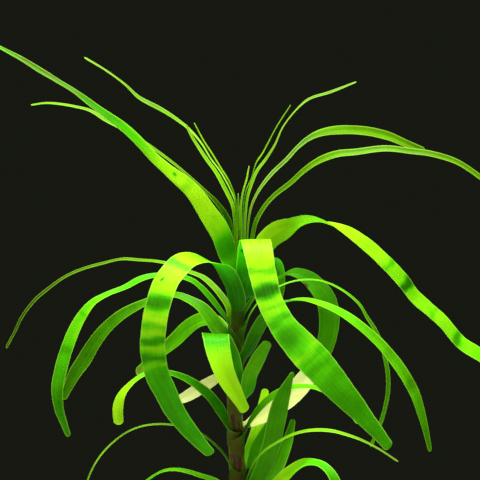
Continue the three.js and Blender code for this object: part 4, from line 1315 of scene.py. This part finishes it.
leaf(
    "leaf_right_pale",
    green_flesh,
    path=[
        (248.5, 285, -5), (257, 270, -9.6), (266, 259.5, -13.5), (273, 257, -16), (278.5, 263, -19),
        (281, 276, -21), (280.5, 290, -22), (276, 306, -22), (269, 322, -21.5),
    ],
    node=306,
    width=3.4,
    blade=ribbon,
    turns=[5, 5, 15, 20],
    fold=0.2,
    tones=[0.3, 0.4, 0.5, 0.5],
)
leaf(
    "leaf_right_hooked",
    green_flesh,
    path=[
        (251.5, 300, -5.6), (264, 287, -8.4), (277, 279, -11.5), (291, 272, -17), (303.5, 275, -20),
        (313, 282, -23), (320.5, 290.5, -25.5), (326.5, 301, -27), (329, 314, -28), (329, 328, -28.5),
        (326, 342, -29), (320.5, 357, -29),
    ],
    node=320,
    width=6.3,
    blade=(0.46, 0.6, 0.62, 0.62, 0.58, 0.84, 0.94, 1, 1, 0.9, 0.84),
    turns=[-10, -16, -26, -34, -34, -30, -30, -32, -36, -42, -42, -42],
    fold=0.12,
    tones=[0.3, 0.45, 0.55, 0.6, 0.5, 0.5, 0.45, 0.45],
    spots=[(BROWN_AND_SHADE, 305, 286, 3.5, 1)],
)
leaf(
    "leaf_right_thin",
    green_flesh,
    path=[
        (250, 314, 0.8), (264, 296.5, 0.2), (280, 286, -1.6), (294, 281, -3.2), (308, 279.5, -4.2),
        (320, 280.5, -5.2), (332, 284.5, -6.5), (346, 292.5, -7), (359.5, 304.5, -7.5), (366.5, 316.5, -8),
        (376.5, 332.5, -8.5), (383.5, 352, -9), (387.5, 372, -9), (388, 390, -9), (385, 407.5, -8.5),
        (380, 424.5, -8), (372, 443.5, -7),
    ],
    node=334,
    width=1.6,
    blade=(0.44, 0.44, 0.46, 0.58, 0.74, 0.84, 1.08, 1.02, 1.02, 0.84, 0.66),
    turns=[10, 14, 18, 26, 36, 50, 60, 70, 76, 80],
    fold=0.2,
    tones=[0.4, 0.45, 0.45, 0.4, 0.3, 0.3, 0.3, 0.35],
)
leaf(
    "leaf_right_arched",
    green_flesh,
    path=[
        (249, 348, 6.5), (257, 331, 9), (266, 316, 10), (278, 304, 12), (291, 299.5, 14),
        (305, 299.5, 15.5), (319, 303, 17), (333, 308.5, 18), (347, 316, 19), (359, 325, 20),
        (370.5, 334.5, 20.5), (384.5, 348.5, 21), (398, 365.5, 21.5), (408, 381, 21.5), (415.5, 396, 21.5),
        (421, 413, 21), (426, 432, 20.5), (429.5, 448, 20),
    ],
    node=366,
    width=4.1,
    blade=(0.8, 1, 1.04, 0.94, 0.88, 0.9, 0.98, 0.9, 0.92, 1, 0.96, 0.68, 0.4),
    turns=[-10, -25, -34, 0, 18, 24, 32, 38, 40, 40, 42, 44],
    fold=0.15,
    tones=[0.15, 0.15, 0.3, 0.6, 0.6, 0.5, 0.45, 0.45, 0.45, 0.35, 0.2],
    # Two faint bands of painted shadow.
    marks=[(LIGHT_AND_SHADE, 389, 354, 1.2, -0.15), (LIGHT_AND_SHADE, 411, 386, 1.4, -0.25)],
)
leaf(
    "leaf_right_folded",
    green_flesh,
    path=[(247.5, 389, 5.2), (250, 376, 7), (256, 363, 8.5), (262, 352, 9.5), (266.5, 344.5, 10)],
    node=404,
    width=4.4,
    blade=blunt,
    turns=[-10, -28, -30],
    fold=0.45,
    tones=[0.4, 0.55, 0.6, 0.6],
)


# Left leaves
# They arch out to the left in the middle of the plant and hang down, one with a brown end.
leaf(
    "leaf_left_thin",
    young_flesh,
    path=[
        (228.5, 307.5, -3), (220.5, 294.5, -5), (212, 285, -7), (202.5, 277, -9), (188.5, 271.5, -11.5),
        (175, 265.5, -14), (158, 261.5, -16.5), (140, 260, -19), (122, 259, -21.5), (104, 263, -24),
        (84, 268.5, -26), (65.5, 276.5, -28), (49, 288, -29.5), (34.5, 300.5, -31), (22, 317, -32),
        (14.5, 332.5, -33), (7.5, 345.5, -34),
    ],
    node=330,
    width=2.3,
    blade=(0.85, 1.06, 1, 0.88, 0.82, 0.76, 0.88, 0.78, 0.8, 0.72, 0.64, 0.5),
    turns=[26, 26, 26, 24, 24, 26, 32, 36, 44, 58, 66, 66],
    fold=0.2,
    tones=[0.3, 0.35, 0.35, 0.35, 0.3, 0.2, 0.15, 0.05, 0, 0, 0.1],
)
leaf(
    "leaf_left_bright",
    lime_flesh,
    path=[
        (228.5, 322, 1.6), (219.5, 309.5, 2.2), (210.5, 298, 3), (201, 287.5, 4), (191, 280, 5),
        (176, 276, 6.5), (158, 275, 8), (142, 278.5, 9.5), (125.5, 287, 11), (106.5, 294.5, 12.5),
        (93.5, 302, 13.5), (82.5, 315, 14.5), (73.5, 332, 15.5), (66, 352, 16.5), (60.5, 372, 17),
        (57.5, 390, 17.5), (59, 408, 17.5), (63.5, 422, 17.5), (67.5, 433, 17.5),
    ],
    node=342,
    width=4.4,
    blade=(0.5, 0.7, 0.83, 0.83, 0.66, 0.57, 0.69, 0.46, 0.62, 0.92, 0.98, 1, 0.92, 0.66, 0.36),
    turns=[0, 30, 40, 32, 26, 24, 26, 26, 32, 36, 38, 42, 48, 52],
    fold=0.15,
    tones=[0.15, 0.2, 0.3, 0.45, 0.45, 0.5, 0.6, 0.55, 0.4, 0.25, 0.2],
    # Two faint bands of painted shadow.
    marks=[(LIGHT_AND_SHADE, 82, 313, 0.8, -0.2), (LIGHT_AND_SHADE, 66, 352, 1.2, -0.2)],
)
leaf(
    "leaf_left_dark",
    green_flesh,
    path=[
        (224.6, 336, -1.4), (217.2, 328, -2.2), (210, 317, -2.9), (201.5, 307, -3.6), (191, 300.5, -4.6),
        (177, 295, -6), (160, 296.5, -7.6), (142.5, 304, -9.2), (126.5, 312, -10.8), (111.5, 323, -12.2),
        (97, 339.5, -13.4), (85.5, 358, -14.4), (75.5, 372.5, -15), (69.5, 384, -15.4), (64, 396, -15.6),
    ],
    node=352,
    width=6,
    blade=(0.6, 0.78, 0.72, 0.54, 0.52, 0.64, 0.72, 0.76, 0.82, 0.92, 0.76, 0.45),
    turns=[36, 54, 40, 26, 26, 38, 48, 58, 66, 70, 72, 72],
    fold=0.15,
    tones=[0.2, 0.3, 0.3, 0.25, 0.2, 0.15, 0.15, 0.15, 0.1],
)
leaf(
    "leaf_left_short",
    green_flesh,
    path=[
        (232, 342, -5), (224, 329, -9), (214, 321, -13), (202, 320.5, -17), (190.5, 326, -20),
        (177.5, 337.5, -22.5), (165.5, 348, -24.5), (153.5, 358, -26), (138.5, 371.5, -27.5),
    ],
    node=362,
    width=6.9,
    blade=(0.46, 0.48, 0.52, 0.72, 1, 1, 0.8, 0.66, 0.54),
    turns=[0, 10, 25, 50, 66, 70, 70, 66],
    fold=0.15,
    tones=[0.2, 0.2, 0.3, 0.35, 0.35, 0.3],
    spots=[(BROWN_AND_SHADE, 140, 371, 5, 0.55)],
)


# Old leaves
# Two dying leaves have lost their green, and show half hidden on either side of the stem.
leaf(
    "leaf_old_right",
    old_flesh,
    path=[
        (250.5, 423, -6), (258, 418.5, -8), (268, 411.5, -10), (283, 401, -14), (296, 390, -17),
        (307, 377, -20), (316, 364, -22),
    ],
    node=432,
    width=6.2,
    blade=(0.34, 0.42, 0.86, 1, 1, 0.98, 0.9, 0.62),
    turns=[40, 55, 60, 60],
    tones=[0.6, 0.8, 0.9],
)
leaf(
    "leaf_old_left",
    old_flesh,
    path=[
        (230, 372, -6), (220, 378, -10), (209, 384, -14), (197, 390.5, -17.5), (187, 396, -20),
        (179, 400, -21.5),
    ],
    node=382,
    width=6.6,
    blade=blunt,
    turns=[20, 50, 60, 60],
    tones=[0.6, 0.8, 1],
)


# Low left leaves
# Three leaves of the lower stem that arch to the left, two of them at the picture's lower edge.
leaf(
    "leaf_low_left_lime",
    lime_flesh,
    path=[
        (226.5, 422, 5.2), (218.5, 407.5, 5.2), (209, 395.5, 6.4), (199, 387, 7.6), (186.5, 379, 9),
        (172.5, 373.5, 10.5), (158, 371.5, 12), (143, 375, 13.5), (130, 384.5, 14.8), (121.5, 395.5, 15.8),
        (118, 409, 16.4), (118.5, 421, 16.6),
    ],
    node=436,
    width=4.3,
    blade=(0.6, 0.86, 1.02, 1, 0.96, 0.86, 0.72, 0.58, 0.46, 0.4, 0.54, 0.82, 0.64),
    turns=[0, 40, 58, 52, 46, 38, 30, 26, 26, 28, 40, 54],
    fold=0.15,
    tones=[0.1, 0.1, 0.15, 0.15, 0.15, 0.2, 0.3, 0.5, 0.85, 1, 1],
)
leaf(
    "leaf_low_left_thin",
    young_flesh,
    path=[
        (229, 462, 3.8), (222, 451.5, 4.4), (213, 442.5, 5.4), (204, 435.5, 6.4), (189.5, 428.5, 7.6),
        (174, 425, 9), (159, 424, 10.4), (142.5, 426, 11.8), (127, 432, 13), (114.5, 441, 14),
        (103, 452.5, 15), (94, 465.5, 15.6), (87.5, 480.5, 16), (83, 496.5, 16),
    ],
    node=476,
    width=1.4,
    blade=(0.9, 1.08, 0.96, 0.78, 0.66, 0.48, 0.52, 0.52, 0.52),
    turns=[28, 28, 24, 22, 20, 20, 20, 20],
    fold=0.2,
    tones=[0.15, 0.25, 0.35, 0.35, 0.35],
)
leaf(
    "leaf_low_left_edge",
    green_flesh,
    path=[
        (225, 489, -4), (213, 480, -6), (200, 475.5, -8.4), (189, 472, -10.6), (175, 469.5, -13),
        (160.5, 472, -15.4), (145.5, 481.5, -17.6), (133.5, 493.5, -19.4), (124, 507.5, -21),
    ],
    node=506,
    width=3.2,
    blade=(1, 0.98, 0.68, 0.64, 0.94, 0.98),
    turns=[10, 12, 18, 24, 24],
    fold=0.2,
    tones=[0.3, 0.45, 0.5, 0.4],
)


# Low right leaves
# A loose bunch of short leaves stands up to the right of the lower stem, and three arch over it.
leaf(
    "leaf_low_right_arched",
    green_flesh,
    path=[
        (247.5, 426, 3.6), (256, 413, 4), (265, 402.5, 4.4), (276, 394, 4.8), (288, 388, 5.4),
        (300, 386.4, 6.4), (312, 387, 7.6), (323, 390.6, 8.8), (333, 397, 9.8), (343.5, 406.5, 10.6),
        (350, 413.5, 11), (355, 420.5, 11.2),
    ],
    node=444,
    width=3.4,
    blade=(0.62, 0.9, 1, 1, 1, 0.95, 0.85, 0.7, 0.4),
    turns=[5, 26, 40, 26, 10, 8, 8],
    fold=0.15,
    tones=[0.2, 0.25, 0.3, 0.45, 0.6, 0.6, 0.6],
)
leaf(
    "leaf_low_right_upright",
    green_flesh,
    path=[
        (254.5, 488, 5), (265.3, 464, 7.2), (272, 443, 8), (276, 424, 8.8), (279.5, 408, 9.3),
        (284.5, 392, 9.7), (291.5, 375.5, 10),
    ],
    node=512,
    width=5.6,
    blade=(0.6, 0.9, 1, 1, 1, 1, 1, 0.98, 0.74, 0.24),
    turns=[0, -25, -38, -40, -38],
    tones=[0.25, 0.35, 0.4, 0.4, 0.35],
)
leaf(
    "leaf_low_right_wide",
    green_flesh,
    path=[(252.5, 472, 3.2), (257, 459, 2.4), (261, 447, 2), (264.5, 436, 1.8), (267.5, 427, 1.8)],
    node=486,
    width=6.4,
    blade=(0.6, 0.9, 1, 1, 0.95, 0.7, 0.35),
    turns=[0, 16, 50, 62, 60],
    tones=[0.35, 0.45, 0.5, 0.5],
)
leaf(
    "leaf_low_right_lime",
    lime_flesh,
    path=[(249, 452, -6), (256, 432, -9.5), (261.5, 413, -12.5), (265, 392, -15)],
    node=474,
    width=3.3,
    blade=blunt,
    turns=[5, 25, 28],
    fold=0.15,
    tones=[0.5, 0.95, 1],
)
leaf(
    "leaf_low_right_back",
    green_flesh,
    path=[(258, 502, -6), (272, 478, -10), (282, 456, -13), (288.5, 438, -15), (292.5, 422.5, -16)],
    node=524,
    width=3.8,
    blade=(0.6, 0.95, 1, 1, 1, 0.85, 0.4),
    turns=[10, 38, 40],
    fold=0.15,
    tones=[0.3, 0.35, 0.35],
)
leaf(
    "leaf_low_right_thin",
    young_flesh,
    path=[
        (246.5, 479, 8.6), (253.5, 463, 14), (264, 451, 17), (276, 443, 19.5), (290, 435.5, 21.4),
        (303, 431.5, 22.8), (317, 430, 24), (332, 431, 25), (347.5, 435, 25.8), (362.5, 440.5, 26.4),
        (379, 449, 26.8), (395, 459.5, 27),
    ],
    node=500,
    width=1.5,
    blade=(0.8, 0.98, 1.02, 0.98, 0.86, 0.94, 1.02, 1.06, 0.82, 0.54, 0.5),
    turns=[40, 40, 40, 36, 32, 30, 30, 30, 30],
    fold=0.2,
    tones=[0.1, 0.1, 0.3, 0.5, 0.6, 0.55, 0.5, 0.2, 0.05],
)
leaf(
    "leaf_low_right_bright",
    lime_flesh,
    path=[
        (259, 508, 8.4), (272, 490, 14), (286, 476, 19), (299, 466, 23), (311, 462.5, 26.5),
        (322, 465, 29), (331.5, 474, 31), (338, 488.5, 32.4), (341, 503.5, 33.4),
    ],
    node=532,
    width=5.3,
    blade=(0.62, 0.9, 1, 1, 1, 1, 0.84, 0.58, 0.62, 0.64),
    turns=[10, 50, 72, 70, 66, 48, 14, 10, 28],
    fold=0.15,
    tones=[0.5, 0.8, 1, 1, 0.6, 0.25, 0.15],
)


# Lowest leaves
# Seven more ribbons from the nodes below the picture, which arch out over the pot's rim all round. Each has
# its heading and bend in degrees, its node's height, how far it reaches out, and how far it rises and drops
# from the node.
low_leaves = [
    (226, 10, 57, 47, 7, 22),
    (192, -12, 50, 42, 8, 17),
    (150, 0, 54.5, 48, 4, 24),
    (100, -10, 55, 50, 3, 26),
    (66, 10, 48, 44, 9, 20),
    (8, -8, 47.5, 45, 10, 21),
    (256, 9, 47.5, 49, 11, 25),
]
low_width = 5.2
low_outline = [(0.14, 0.62), (0.32, 1), (0.54, 0.92), (0.74, 0.25), (0.9, -0.45), (1, -1)]
for number, (heading, bend, height, reach, rise, drop) in enumerate(low_leaves, 1):
    low_line = []
    for out, up in low_outline:
        angle = math.radians(heading + bend * out)
        level = height + up * (rise if up > 0 else drop)
        low_line.append((reach * out * math.cos(angle), reach * out * math.sin(angle), level))
    grow(
        f"leaf_low_{number}",
        green_flesh,
        np.array(low_line),
        node_height=height,
        width=low_width,
        blade=ribbon,
        turns=[0, 8, -6, 5],
        fold=0.15,
        tones=[0.25, 0.45, 0.55, 0.45, 0.35],
    )


# Floor and light
# A plain pale floor under the pot in a dark room, with a broad soft lamp high over the plant and a weak one
# on the viewer's side.
floor_radius = 220
floor_depth = 0.05
floor_corners = 96
world = bpy.data.worlds.new("dark room")
world.use_nodes = True
world.node_tree.nodes["Background"].inputs["Color"].default_value = (0.0085, 0.0095, 0.0062, 1)
bpy.context.scene.world = world

floor_points = []
for angle in np.linspace(0, math.tau, floor_corners, endpoint=False):
    floor_points.append((floor_radius * math.cos(angle), floor_radius * math.sin(angle), -floor_depth))
floor = new_object("floor", floor_points, [tuple(range(floor_corners))])
pale = solid_finish(
    "pale floor", (0.44, 0.44, 0.42), (0.48, 0.48, 0.46), 40, rough=(0.7, 0.8), relief=0.01
)
floor.data.materials.append(pale)


def lamp(name, power, width, place, target):
    light = bpy.data.lights.new(name, "AREA")
    light.energy = power
    light.size = width * MM
    made = bpy.data.objects.new(name, light)
    made.location = np.array(place) * MM
    aim = mathutils.Vector(np.array(target, float) - place)
    made.rotation_euler = aim.to_track_quat("-Z", "Y").to_euler()
    bpy.context.scene.collection.objects.link(made)


lamp("lamp overhead", 26, 500, (20, -60, 1000), (0, 0, 130))
lamp("room light", 1.0, 600, (-150, -650, 260), (0, 0, 120))
